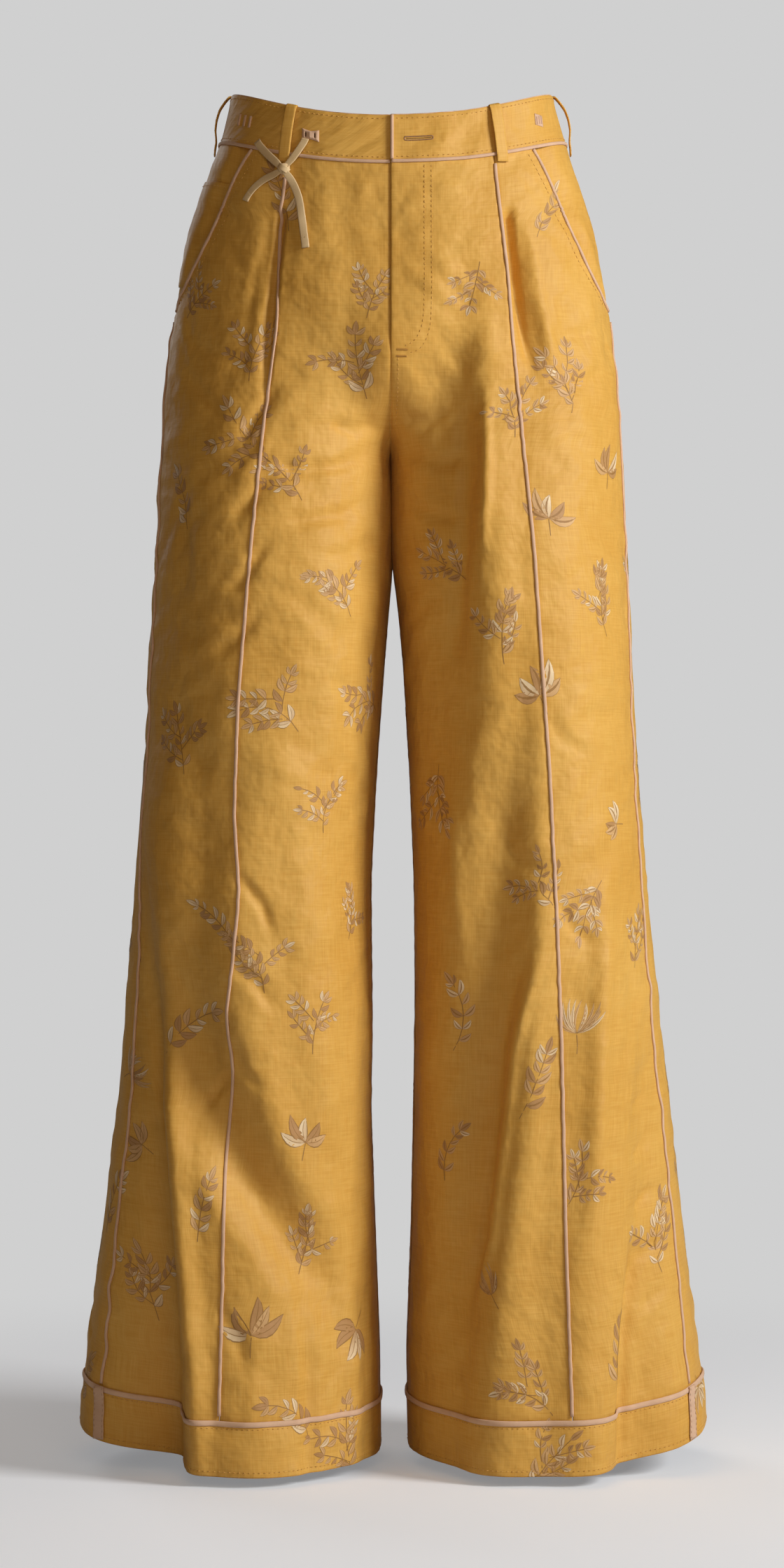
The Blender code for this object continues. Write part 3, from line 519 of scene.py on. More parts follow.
# how a stem varies: its bend, the length of its steps, the size of its leaves, how many of them
# grow, how they lean, how large the one at the tip is, and how wide apart the blades stray
growth = {"bend": 0.03, "step": (0.8, 1.2), "size": (0.72, 1.18), "leaves": 0.9,
          "lean": (0.75, 1.25), "tip": (0.95, 0.9), "stray": 0.12, "blade": (0.72, 1.1)}
sideTwigs = {"lean": (0.7, 1.0), "size": 0.8, "pairs": 4, "stem": 40}
sprigKindShare = [("twig", 0.30), ("spray", 0.50), ("palm", 0.15), ("fan", 0.05)]
# how the sprigs are strewn: the back's throws and how far they keep apart and from the seams,
# the range of sizes, how far they lean from upright, and the share that hangs
strewn = {"throws": 2600, "from": (0, 50), "to": (820, 1030), "apart": 62.0, "side": 8,
          "middle": 6, "size": (0.95, 1.32), "lean": 0.55, "hanging": 0.12}
leafBend, leafSteps, stemHalf = 0.13, 6, 0.32
inkLift, legMiddle = 0.14, 98.0    # how high the ink lies, and where the middle of a leg is


def leafShape(rootAt, turn, long, wide, bend, ink):
    return {"root": np.array(rootAt, float), "turn": turn, "long": long, "wide": wide,
            "bend": bend, "ink": ink}


def growTwig(kind, random, rootAt, turn, size, pairs):
    # a stem bent to one side, its leaves in pairs that are never quite level
    leaves, bend = [], random.uniform(-growth["bend"], growth["bend"])
    at, way = np.array(rootAt, float), turn
    line = [at]
    for k in range(pairs):
        step = kind["pitch"] * size * random.uniform(*growth["step"])
        at = at + step * np.array([np.cos(way), np.sin(way)])
        line.append(at)
        way += bend * step
        shrink = size * (1 - kind["less"] * k / pairs) * random.uniform(*growth["size"])
        for side in (-1, 1):
            if random.uniform() < growth["leaves"]:
                lean = kind["lean"] * random.uniform(*growth["lean"])
                leaves.append(leafShape(at, way + side * lean, kind["long"] * shrink,
                                        kind["wide"] * shrink, side * leafBend,
                                        random.uniform()))
    longer, wider = growth["tip"]
    leaves.append(leafShape(at, way, kind["long"] * size * longer, kind["wide"] * size * wider,
                            0, random.uniform()))
    return leaves, [np.array(line)]


def growSprig(name, random, size):
    kind = sprigKinds[name]
    if "pairs" in kind:    # a stem, which may have side twigs
        root = kind["root"]
        leaves, stems = growTwig(kind, random, (root * size, 0), 0, size, kind["pairs"])
        for share, side in kind["twigs"]:
            at = np.array([root + share * sideTwigs["stem"], 0]) * size
            more, line = growTwig(kind, random, at, side * random.uniform(*sideTwigs["lean"]),
                                  size * sideTwigs["size"], sideTwigs["pairs"])
            leaves, stems = leaves + more, stems + line
        return leaves, stems
    leaves = []    # blades from one point, and a bare stem below
    for k in range(kind["blades"]):
        turn = (k / (kind["blades"] - 1) - 0.5) * kind["spread"]
        turn += random.uniform(-growth["stray"], growth["stray"])
        long = kind["long"] * size * random.uniform(*growth["blade"])
        leaves.append(leafShape((-4, 0), turn, long, kind["wide"] * size,
                                leafBend * np.sign(turn), random.uniform()))
    return leaves, [np.array([[-15.0, 1.5], [-9, 0.8], [-4, 0]]) * size]


def layPrint(half, leg):
    # the front's sprigs keep their places; those of the back are thrown at random, well apart
    random = np.random.default_rng(5 if leg == "left" else 8)
    places = [(findAcross(half, b, x) - read(half, "front", b), b) for x, b in sprigs[leg]]
    for across, b in random.uniform(strewn["from"], strewn["to"], (strewn["throws"], 2)):
        side, girth, mark = (read(half, k, b) for k in ("side", "girth", "front"))
        if side + strewn["side"] < across < girth - strewn["middle"] and all(
                (across - mark - a) ** 2 + (b - d) ** 2 > strewn["apart"] ** 2
                for a, d in places):
            places.append((across - mark, b))
    names, shares = zip(*sprigKindShare)
    half["sprigs"] = []
    for w, b in places:
        name = str(random.choice(names, p=shares))
        leaves, stems = growSprig(name, random, random.uniform(*strewn["size"]))
        turn = random.normal(0, strewn["lean"]) - np.pi / 2
        turn += np.pi * (random.uniform() < strewn["hanging"])
        c, d = np.cos(turn), np.sin(turn)
        spin = np.array([[c, d], [-d, c]])
        for leaf in leaves:
            leaf["root"], leaf["turn"] = leaf["root"] @ spin + (w, b), leaf["turn"] + turn
        half["sprigs"].append((leaves, [stem @ spin + (w, b) for stem in stems]))


for leg, half in halves.items():
    layPrint(half, leg)


# Materials

def linear(hexColour):
    channels = [int(hexColour[k:k + 2], 16) / 255 for k in (1, 3, 5)]
    return (*[c / 12.92 if c <= 0.04045 else ((c + 0.055) / 1.055) ** 2.4 for c in channels], 1)


def setInputs(node, values):
    # each input takes a value, or a link from another node's output
    for name, value in values.items():
        if isinstance(value, bpy.types.NodeSocket):
            node.id_data.links.new(value, node.inputs[name])
        else:
            node.inputs[name].default_value = value


def addNode(tree, kind, settings={}, inputs={}):
    node = tree.nodes.new("ShaderNode" + kind)
    for name, value in settings.items():
        setattr(node, name, value)
    setInputs(node, inputs)
    return node.outputs[0]


def noise(tree, where, scale, detail):
    return addNode(tree, "TexNoise", {"noise_dimensions": "2D"},
                   {"Vector": where, "Scale": scale, "Detail": detail})


def streaks(tree, where, wide, tall, scale):
    # noise of marks that are wide and tall millimetres at scale 1
    size = (1000 / wide, 1000 / tall, 1)
    return noise(tree, addNode(tree, "Mapping", {}, {"Vector": where, "Scale": size}), scale, 2.0)


def mix(tree, share, first, second, kind="MIX"):
    return addNode(tree, "MixRGB", {"blend_type": kind},
                   {"Fac": share, "Color1": first, "Color2": second})


def bump(tree, height, strength, distance, below=None):
    inputs = {"Height": height, "Strength": strength, "Distance": distance}
    if below is not None:
        inputs["Normal"] = below
    return addNode(tree, "Bump", {}, inputs)


def ramp(tree, value, stops, interpolation="LINEAR"):
    node = tree.nodes.new("ShaderNodeValToRGB")
    node.color_ramp.interpolation = interpolation
    marks = node.color_ramp.elements
    for k, (at, colour) in enumerate(stops):
        mark = marks[k] if k < 2 else marks.new(at)
        mark.position, mark.color = at, linear(colour)
    tree.links.new(value, node.inputs[0])
    return node.outputs[0]


def calculate(tree, known, steps):
    # a list of (result, operation, values) worked out with math nodes, values named or plain
    for result, operation, *values in steps:
        known[result] = addNode(tree, "Math", {"operation": operation},
                                {k: known.get(v, v) for k, v in enumerate(values)})
    return known


def startMaterial(name):
    material = bpy.data.materials.new(name)
    material.use_nodes = True
    return material, material.node_tree, material.node_tree.nodes["Principled BSDF"]


linen = {"ground": "#D2A14B", "pale": "#D8AA55", "dark": "#CB9740", "roughness": 0.56,
         "thread": 0.9, "slub": 26, "cloud": 11.0, "crumple": 28.0, "bump": 0.35}
# how the finest wrinkles lie in the linen: the turn of each set and its size across and along
fineWrinkles = [(0.22, 17, 85), (-0.5, 14, 52)]
printInk = {"outline": "#7E5832", "taupe": "#A9815A", "blush": "#D3AE80", "cream": "#EEDDBB",
            "cover": 0.80, "blushFrom": 0.0, "taupeFrom": 0.45, "creamFrom": 0.74}


def linenTone(tree):
    # plain-weave linen: long threads of uneven thickness each way, and a faint cloudiness
    uv = addNode(tree, "UVMap", {"uv_map": "cloth"})
    known = {"warp": streaks(tree, uv, linen["thread"], linen["slub"], 1.0),
             "weft": streaks(tree, uv, linen["slub"], linen["thread"], 1.0),
             "crumple": noise(tree, uv, linen["crumple"], 3.0),
             "cloudy": noise(tree, uv, linen["cloud"], 4.0)}
    for k, (turn, wide, tall) in enumerate(fineWrinkles):
        lying = addNode(tree, "VectorRotate", {"rotation_type": "Z_AXIS"},
                        {"Vector": uv, "Angle": turn})
        known[f"set{k}"] = streaks(tree, lying, wide, tall, 0.5)
    calculate(tree, known, [("both", "ADD", "warp", "weft"), ("weave", "MULTIPLY", "both", 0.5),
                            ("soft", "MULTIPLY_ADD", "cloudy", 0.5, "weave"),
                            ("tone", "SUBTRACT", "soft", 0.25), ("sets", "ADD", "set0", "set1"),
                            ("strong", "MULTIPLY", "cloudy", 0.5),
                            ("wrinkled", "MULTIPLY_ADD", "sets", "strong", "crumple")])
    return known, ramp(tree, known["tone"], [(0.28, linen["dark"]), (0.72, linen["pale"]),
                                             (0.5, linen["ground"])])


def finishLinen(tree, shader, known, colour):
    # calendered after dyeing, so its flattened threads have a soft sheen
    crumple = bump(tree, known["wrinkled"], 1.0, 0.0038)
    setInputs(shader, {"Base Color": colour, "Roughness": linen["roughness"],
                       "Normal": bump(tree, known["weave"], linen["bump"], 0.0003, crumple),
                       "Sheen Weight": 0.02, "Sheen Roughness": 0.4,
                       "Specular IOR Level": 0.25})


def mustardLinen(name):
    # linen of 0.5 mm threads, drawn 0.9 mm thick so that they show, vat dyed mustard
    material, tree, shader = startMaterial(name)
    finishLinen(tree, shader, *linenTone(tree))
    return material


def printedLeaves(name):
    # pigment ink screen printed on the same linen: a leaf shaded from its root, with a darker
    # vein and outline; u runs along the leaf and v from edge to edge
    material, tree, shader = startMaterial(name)
    known, ground = linenTone(tree)
    parts = tree.nodes.new("ShaderNodeSeparateXYZ")
    setInputs(parts, {0: addNode(tree, "UVMap", {"uv_map": "leaf"})})
    ink = tree.nodes.new("ShaderNodeAttribute")
    ink.attribute_name = "ink"
    known.update(u=parts.outputs[0], v=parts.outputs[1])
    calculate(tree, known, [
        ("off", "ABSOLUTE", "v"), ("rim", "GREATER_THAN", "off", 0.80),
        ("vein", "LESS_THAN", "off", 0.07), ("line", "MAXIMUM", "rim", "vein"),
        ("strength", "MULTIPLY", "line", 0.88),
        # the half that faces down is darker, and so is the root
        ("under", "LESS_THAN", "v", 0.0), ("shade", "MULTIPLY", "under", 0.22),
        ("root", "SUBTRACT", 1.0, "u"), ("deep", "MULTIPLY_ADD", "root", 0.45, "shade"),
        ("uneven", "MULTIPLY_ADD", "cloudy", 0.5, -0.25), ("dim", "ADD", "deep", "uneven")])
    fill = ramp(tree, ink.outputs["Fac"], [(printInk[f"{name}From"], printInk[name])
                                           for name in ("blush", "taupe", "cream")], "CONSTANT")
    shaded = mix(tree, known["dim"], fill, linear(printInk["taupe"]))
    drawn = mix(tree, known["strength"], shaded, linear(printInk["outline"]))
    finishLinen(tree, shader, known, mix(tree, printInk["cover"], ground, drawn))
    return material


def wovenTape(name, colour, dark, thread=0.45):
    # a bias strip of fine cotton lawn folded over a cord, or a narrow cotton tape, pressed
    # flat and matt; its threads are too fine to show but for a slight roughness
    material, tree, shader = startMaterial(name)
    uv = addNode(tree, "UVMap", {"uv_map": "cloth"})
    known = calculate(tree, {"fine": noise(tree, uv, 1000 / thread, 2.0),
                             "patchy": noise(tree, uv, 90.0, 3.0)},
                      [("mix", "MULTIPLY_ADD", "fine", 0.5, "patchy"),
                       ("tone", "SUBTRACT", "mix", 0.25)])
    setInputs(shader, {"Base Color": mix(tree, known["tone"], linear(dark), linear(colour)),
                       "Normal": bump(tree, known["fine"], 0.3, 0.0001), "Roughness": 0.75,
                       "Sheen Weight": 0.08, "Specular IOR Level": 0.3})
    return material


def sewingThread(name, colour):
    # spun polyester sewing thread: a slight gloss, and a twist finer than the render shows
    material, tree, shader = startMaterial(name)
    where = tree.nodes.new("ShaderNodeTexCoord").outputs["Object"]
    twist = addNode(tree, "TexNoise", {}, {"Vector": where, "Scale": 900.0})
    setInputs(shader, {"Base Color": mix(tree, 0.15, linear(colour), twist, "MULTIPLY"),
                       "Roughness": 0.5})
    return material


plainLinen = mustardLinen("mustard_linen")
printedInk = printedLeaves("printed_leaves")
blushTape = wovenTape("blush_bias_binding", "#DAB799", "#C6A286")
creamTape = wovenTape("cream_cotton_tape", "#E0C79B", "#CDB082")
mustardThread = sewingThread("mustard_thread", "#D9A754")
blushThread = sewingThread("blush_thread", "#C29C80")
creamThread = sewingThread("cream_thread", "#D6BC8C")
# dark brown painted shade, not thread: laid in the buttonhole slit, in the tack's slots and along
# the inseam's fold, where only shade falls
paintedShade = sewingThread("buttonhole_slit_painted_shade", "#5A3A16")
print("materials made")


# Meshes

def makeMesh(name, vertices, quads, material, uv=None, leaf=None, ink=None):
    mesh = bpy.data.meshes.new(name)
    mesh.from_pydata((np.asarray(vertices) * 0.001).tolist(), [], np.asarray(quads).tolist())
    for layer, values in (("cloth", uv), ("leaf", leaf)):
        if values is not None:
            mesh.uv_layers.new(name=layer).data.foreach_set(
                "uv", np.asarray(values, np.float32).ravel())
    if ink is not None:
        mesh.attributes.new("ink", "FLOAT", "FACE").data.foreach_set(
            "value", np.asarray(ink, np.float32).ravel())
    mesh.materials.append(material)
    mesh.shade_smooth()
    piece = bpy.data.objects.new(name, mesh)
    bpy.context.scene.collection.objects.link(piece)
    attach(piece, "root")
    return piece


def gridFaces(rows, columns, closed=False):
    number = np.arange(rows * columns).reshape(rows, columns)
    if closed:
        number = np.concatenate([number, number[:, :1]], axis=1)
    return np.stack([number[:-1, :-1], number[1:, :-1], number[1:, 1:], number[:-1, 1:]],
                    axis=-1).reshape(-1, 4)


def atCorners(quads, u, v):
    # two values of each vertex, given at the corners of the faces
    return np.stack([np.ravel(u)[quads], np.ravel(v)[quads]], axis=2)


def clothShell(name, outer, inner, across, below, closed=False, flip=False):
    # two grids of points, face to back, joined round their edges; across and below are the
    # cloth's own coordinates, for the weave
    rows, columns = across.shape
    under = rows * columns
    face = gridFaces(rows, columns, closed)
    number = np.arange(under).reshape(rows, columns)
    rim = [(number[0], False), (number[-1], True)]
    if closed:
        rim = [(np.append(line, line[0]), turned) for line, turned in rim]
    else:
        rim += [(number[:, 0], True), (number[:, -1], False)]
    quads = [face, face[:, ::-1] + under]
    for line, turned in rim:
        quad = np.stack([line[1:], line[:-1], line[:-1] + under, line[1:] + under], axis=-1)
        quads.append(quad[:, ::-1] if turned else quad)
    quads = np.concatenate(quads)
    if not flip:
        quads = quads[:, ::-1]
    uv = atCorners(quads, np.tile(across.ravel(), 2), np.tile(below.ravel(), 2)) * 0.001
    vertices = np.concatenate([outer.reshape(-1, 3), inner.reshape(-1, 3)])
    return makeMesh(name, vertices, quads, plainLinen, uv)


rolled = [0, 0.2, 0.5, 0.9, 1.8]    # how far the lines of a rolled edge lie from it


def edgeLines(length, step):
    # places along a length, close together at both ends where the edge is rolled
    near = np.array(rolled)
    count = max(3, int(np.ceil((length - 2 * near[-1]) / step)))
    return np.concatenate([near, np.linspace(near[-1], length - near[-1], count + 1)[1:-1],
                           length - near[::-1]])


def seamRoll(distance, thick):
    # how far an edge rolls in: a quarter of a circle of half the thickness
    r = thick / 2
    return r - np.sqrt(np.maximum(r * r - np.maximum(r - distance, 0) ** 2, 0))


gather = {"long": 15, "sway": 2.2, "swayOver": 40, "sizeOver": 70, "high": 0.30, "reach": 8}
seamSink = {"deep": 0.45, "reach": 1.4}
inkEdge = 0.3    # how far the print stops from a seam


def pucker(run, away, seed):
    # sewn seams gather a little: short waves along the seam that die out beside it
    sway = gather["sway"] * softNoise(run / gather["swayOver"], 0 * run, seed)
    size = 0.5 + 0.5 * softNoise(run / gather["sizeOver"], 3 + 0 * run, seed + 1)
    wave = np.sin(2 * np.pi * run / gather["long"] + sway)
    return gather["high"] * wave * size * np.exp(-(away / gather["reach"]) ** 2)


def printOn(name, half, surface, edgesAt, lowB, highB):
    # leaves of the sprigs that reach this panel, cut off at its seams; a leaf's half-width is
    # the widest times 4 p (1 - p) to the power 0.9 times 1.15 - 0.3 p, p being the share of
    # its length, and its middle line bends by 4 p (1 - p)
    p = np.linspace(0, 1, leafSteps + 1)
    spread = (4 * p * (1 - p)) ** 0.9 * (1.15 - 0.3 * p)
    q = np.array([-1.0, 0, 1])
    patches = []    # (places round and depths, u, v, ink)
    for leaves, stems in half["sprigs"]:
        for leaf in leaves:
            ahead = np.array([np.cos(leaf["turn"]), np.sin(leaf["turn"])])
            aside = np.array([-ahead[1], ahead[0]])
            off = leaf["wide"] / 2 * spread[:, None] * q + (
                leaf["long"] * leaf["bend"] * 4 * p * (1 - p))[:, None]
            at = (leaf["root"] + leaf["long"] * p[:, None, None] * ahead
                  + off[..., None] * aside)
            patches.append((at, p[:, None] + 0 * off, q + 0 * off, leaf["ink"]))
        for stem in stems:
            away = unit(np.gradient(stem, axis=0))
            aside = np.stack([-away[:, 1], away[:, 0]], axis=1)
            at = stem[:, None] + aside[:, None] * q[None, :, None] * stemHalf
            patches.append((at, 0 * at[..., 0], 0 * at[..., 0] + 0.9, 0.0))
    points, quads, cloth, leafUV, ink, count = [], [], [], [], [], 0
    for at, u, v, tone in patches:
        w, b = at[..., 0], at[..., 1]
        if b.max() < lowB or b.min() > highB:
            continue
        b = np.clip(b, lowB + inkEdge, highB - inkEdge)
        mark = read(half, "front", b)
        low, high = edgesAt(b)
        if (w + mark < low).all() or (w + mark > high).all():
            continue
        across = np.clip(w + mark, low + inkEdge, high - inkEdge)
        points.append(surface(across, b, inkLift).reshape(-1, 3))
        faces = gridFaces(*across.shape)
        quads.append(faces + count)
        count += across.size
        cloth.append(atCorners(faces, across - mark, b))
        leafUV.append(atCorners(faces, u, v))
        ink.append(np.full(len(faces), tone))
    if not points:
        return
    points, quads, cloth, leafUV, ink = map(np.concatenate, (points, quads, cloth, leafUV, ink))
    out = 1 if half["leg"] == "left" else -1
    quads = quads[:, ::-out]
    # leaves that point the other way round come out turned over, so they are turned back
    a, b, c, d = (points[quads[:, k]] for k in range(4))
    fromLeg = ((a + b + c + d) / 4 - (out * legMiddle, 0, 0)) * (1, 1, 0)
    wrong = (fromLeg * np.cross(c - a, d - b)).sum(axis=1) < 0
    for values in (quads, cloth, leafUV):
        values[wrong] = values[wrong][:, ::-1]
    makeMesh(name.replace("_cloth", "_print"), points, quads, printedInk,
             cloth * 0.001, leafUV, ink)


def sewnPanel(name, half, lowB, highB, edgesAt, stepAcross=2.8, lift=None, thick=None,
              tuck=None, mark="front", printed=True):
    # a panel of cloth between two seam lines and two depths, rolled and sunk at its seams
    thick = thick or cut["wall"]
    b = (lowB + edgeLines(highB - lowB, 3.5))[:, None]
    start, end = edgesAt(b)
    width = (end - start)[:, 0].max()
    lines, near = edgeLines(width, stepAcross), rolled[-1]
    share = np.clip((lines - near) / (width - 2 * near), 0, 1)
    across = start + near + share * (end - start - 2 * near)
    across = np.where(lines < near, start + lines, across)
    across = np.where(lines > width - near, end - (width - lines), across)

    def surface(across, b, extra, turnIn=0.0):
        start, end = edgesAt(b)
        away = np.maximum(np.minimum(across - start, end - across), 0)
        fromEnds = np.maximum(np.minimum(b - lowB, highB - b) + 0 * across, 0)
        nearest = np.minimum(away, fromEnds)
        sink = seamSink["deep"] * np.exp(-(nearest / seamSink["reach"]) ** 2)
        height = (turnIn * seamRoll(nearest, thick) - sink + pucker(b + 0 * across, away, 3)
                  + pucker(across, fromEnds, 6))
        if lift:
            height = height + lift(across, b)
        return place(half, b, across, height + extra)

    outer, inner = surface(across, b, 0, -1), surface(across, b, -thick, 1)
    if tuck:
        outer, inner = tuck(outer, inner, b[:, 0])
    piece = clothShell(f"{name}_cloth", outer, inner, across - read(half, mark, b),
                       b + 0 * across, flip=half["leg"] == "left")
    if printed:
        printOn(f"{name}_cloth", half, surface, edgesAt, lowB, highB)
    area = np.linalg.norm(np.cross(outer[1:, :-1] - outer[:-1, :-1],
                                   outer[:-1, 1:] - outer[:-1, :-1]), axis=2).sum()
    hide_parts(name)
    declareSheet(piece, width * 0.001, (highB - lowB) * 0.001, area * 1e-6)


def declareSheet(piece, width, length, area):
    width, length, area = float(width), float(length), float(min(area, width * length))
    print(f"  {piece.name}: {width:.3f} x {length:.3f} m, {area:.3f} sq m")


def strap(name, centre, up, width, thick, material, slot, rounded=2.6):
    # a flat band along a line: a superellipse section, square to the line, whose ends close
    # in to a point
    centre, corners = np.asarray(centre, float), 12
    forward = unit(np.gradient(centre, axis=0))
    side = unit(np.cross(forward, up))
    up = np.cross(side, forward)
    turn = 2 * np.pi * np.arange(corners) / corners
    w, h = (np.sign(s) * np.abs(s) ** (2 / rounded) / 2 for s in (np.cos(turn), np.sin(turn)))
    width, thick = (np.broadcast_to(v, len(centre))[:, None, None] for v in (width, thick))
    rings = (centre[:, None] + side[:, None] * w[None, :, None] * width
             + up[:, None] * h[None, :, None] * thick)
    rings = np.concatenate([rings[:1].mean(axis=1, keepdims=True) + 0 * rings[:1], rings,
                            rings[-1:].mean(axis=1, keepdims=True) + 0 * rings[-1:]])
    rows, round_ = len(rings), 2 * float(width.max())
    quads = gridFaces(rows, corners, closed=True)
    uv = atCorners(quads, np.tile(np.arange(corners), rows) / corners * round_,
                   np.repeat(runOf(rings.mean(axis=1)), corners)) * 0.001
    # where the section closes, its first corner is also its last
    column = quads % corners
    closing = (column.max(axis=1) == corners - 1) & (column.min(axis=1) == 0)
    uv[..., 0] = np.where((column == 0) & closing[:, None], round_ * 0.001, uv[..., 0])
    return makeMesh(name, rings.reshape(-1, 3), quads, material, uv)


def curveOn(half, path, points=60):
    # a smooth line through (distance from the centre line, depth, lift), with the way out
    path = np.array(path, float)
    steps = runOf(path[:, :2])
    t = np.linspace(0, steps[-1], points)
    slopes = np.gradient(path, steps, axis=0)
    k = np.clip(np.searchsorted(steps, t, side="right") - 1, 0, len(steps) - 2)
    d = (steps[k + 1] - steps[k])[:, None]
    s = (t - steps[k])[:, None] / d
    x, b, lift = ((2 * s ** 3 - 3 * s ** 2 + 1) * path[k] + (s ** 3 - 2 * s ** 2 + s) * d
                  * slopes[k] + (3 * s ** 2 - 2 * s ** 3) * path[k + 1]
                  + (s ** 3 - s ** 2) * d * slopes[k + 1]).T
    across = np.array([findAcross(half, bb, xx) for bb, xx in zip(b, x)])
    across = np.convolve(np.pad(across, 3, mode="edge"), np.ones(7) / 7, mode="valid")
    return lineOn(half, b, across, lift)


# Cloth panels

def legPanels(leg):
    half = halves[leg]
    top, end = cut["waistband"] + cut["seam"], hemTop - cut["seam"]

    def outerEdge(b):    # the front's outer edge is the pocket mouth, then the side seam
        return np.where(b < cut["pocketEnd"], read(half, "pocket", b), read(half, "side", b))

    def tuck(outer, inner, b):    # the lower front runs a little beneath the upper one
        taper = smooth((b - cut["flyTaper"]) / 25)
        past = cut["flyUnder"] * (1 - taper) + cut["seamUnder"]
        torso = b < cut["crotch"] - 12
        for grid, lift in ((outer, -0.2 - 0.8 * taper), (inner, -1.0 - 0.8 * taper)):
            grid[torso, 0] = place(leftUnder, b, past, lift)[torso]
        return outer, inner

    front, side, band = f"front_centre_{leg}", f"front_side_{leg}_cloth", "waistband_cloth"
    sewnPanel(front, half, top, end,
              lambda b: (cut["seam"] + 0 * b, read(half, "crease", b) - cut["seam"]),
              tuck=tuck if leg == "right" else None)
    sewnPanel(f"front_side_{leg}", half, top, end,
              lambda b: (read(half, "crease", b) + cut["seam"], outerEdge(b) - cut["seam"]))
    sewnPanel(f"back_{leg}", half, top, end,
              lambda b: (read(half, "side", b) + cut["seam"],
                         read(half, "girth", b) - cut["seam"]),
              stepAcross=3.4, mark="back")


# the slack of the pocket mouth: how much, at what depth, and how far in from the edge
mouth = {"slack": 0.8, "below": 96, "tall": 30, "across": 12, "wide": 9}
# its depths, how far it runs out past the mouth and stops short of the side seam, and its lift
coinPocket = {"from": 68, "to": 150, "out": 13, "in": 11, "least": 4, "lift": 1.3, "thick": 0.9}


def pocketPieces(leg):
    half = halves[leg]

    def pocket(b):
        return read(half, "pocket", b)

    def side(b):
        return read(half, "side", b)

    def sunk(across, b):    # set back where it passes under the front, and slack at the mouth
        away = across - pocket(b)
        slack = mouth["slack"] * (np.exp(-((b - mouth["below"]) / mouth["tall"]) ** 2)
                                  * np.exp(-((away - mouth["across"]) / mouth["wide"]) ** 2))
        return -cut["pocketSet"] * (1 - smooth((away - 6) / 16)) - slack

    sewnPanel(f"pocket_facing_{leg}", half, cut["waistband"] + cut["seam"],
              cut["pocketEnd"] - 1,
              lambda b: (pocket(b) - cut["pocketTuck"], side(b) - cut["seam"]),
              lift=sunk)
    if leg == "right":    # the coin pocket is a patch on the facing, its top edge folded
        coin = coinPocket
        sewnPanel("coin_pocket", half, coin["from"], coin["to"],
                  lambda b: (pocket(b) - coin["out"],
                             np.maximum(side(b) - coin["in"], pocket(b) - coin["least"])),
                  lift=lambda across, b: sunk(across, b) + coin["lift"], thick=coin["thick"],
                  printed=False)


# the waistband's rows of points at its left end and beneath the overlap
bandShape = {"starts": [0.15, 0.4, 0.9, 1.8, 3.0], "from": 4.5, "beneath": [1.5, 8, 16, 24, 30],
             "points": 130, "hemPoints": 260, "hemArea": 0.98}


def bandPiece(name, parts, nearest, sink, across, b, lift, **how):
    # a strip whose parts are (half, places round, waves), rolled and sunk at its seams
    roll = seamRoll(nearest, cut["wall"]) + sink * np.exp(-(nearest / 1.3) ** 2)
    outer, inner = (np.concatenate([place(half, b, at, level + wave + turnIn * roll)
                                    for half, at, wave in parts], axis=1)
                    for level, turnIn in ((lift, -1), (lift - cut["wall"], 1)))
    return clothShell(f"{name}_cloth", outer, inner, across, b + 0 * across, **how)


def waistbandPiece():
    # one strip right round, from the left front edge to the end beneath it
    b = edgeLines(cut["waistband"] - cut["seam"], 2.4)[:, None]
    girthL, girthR = (read(h, "girth", b) for h in (leftHalf, rightHalf))
    share = np.linspace(0, 1, bandShape["points"])
    first = np.concatenate([bandShape["starts"] + 0 * b,
                            bandShape["from"] + share * (girthL - bandShape["from"])], axis=1)
    last = (1 - share[1:-1]) * girthR
    beneath = np.array([bandShape["beneath"]]) + 0 * b
    nearest = np.minimum(b, cut["waistband"] - b)
    parts = [(half, at, gathers * pucker(at, nearest + 0 * at, 21)) for half, at, gathers in
             ((leftHalf, first, 1), (rightHalf, last, 1), (leftUnder, beneath, 0))]
    run = np.concatenate([first, girthL + girthR - last, girthL + girthR + beneath], axis=1)
    piece = bandPiece("waistband", parts, nearest, 0.35, run, b, 0.0, flip=True)
    length, high = run[0, -1] * 0.001, cut["waistband"] * 0.001
    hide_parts("waistband")
    declareSheet(piece, high, length,
                 high * length)


def hemPieces(leg):
    half, name = halves[leg], f"hem_band_{leg}"
    b = (hemTop + cut["seam"] + edgeLines(cut["hemBand"] - cut["seam"], 2.6))[:, None]
    share = np.arange(bandShape["hemPoints"]) / bandShape["hemPoints"]
    across = read(half, "girth", b) * share
    nearest = np.minimum(b - hemTop - cut["seam"], cut["length"] - b)
    wave = pucker(across, nearest, 33 + (leg == "left"))
    wave = wave * smooth(share / 0.03) * smooth((1 - share) / 0.03)
    piece = bandPiece(name, [(half, across, wave)], nearest, 0.3, across, b, cut["hemStep"],
                      closed=True, flip=leg == "left")
    girth = half["girth"][-1]
    printOn(f"{name}_cloth", half,
            lambda across, b, extra: place(half, b, across, cut["hemStep"] + extra),
            lambda b: (0 * b, girth + 0 * b), hemTop, cut["length"])
    round_, high = read(half, "girth", cut["length"]) * 0.001, cut["hemBand"] * 0.001
    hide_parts(name)
    declareSheet(piece, round_, high,
                 bandShape["hemArea"] * round_ * high)


for leg in halves:
    legPanels(leg)
    pocketPieces(leg)
    hemPieces(leg)
waistbandPiece()
print("cloth panels made")

# Piping and bindings

piping = {"width": 2.7, "high": 0.975, "set": 0.35, "hemWidth": 4.3, "hemHigh": 0.95,
          "creaseFrom": {"right": 57.5, "left": 46}, "sideFrom": 176, "pocket": (39.7, 170),
          "inseamFrom": 420, "inseam": {"right": 19, "left": 15}, "waistSet": 0.45,
          "stitchedFrom": 1.5, "tightAbove": 128, "tightOver": 20}
# the finer trims and the inseam's line of painted shade, as (width, height, lift)
trims = {"inseam": (0.9, 0.25, 0.0), "edge": (2.5, 0.95, 0.05), "top": (0.8, 0.35, -0.8)}


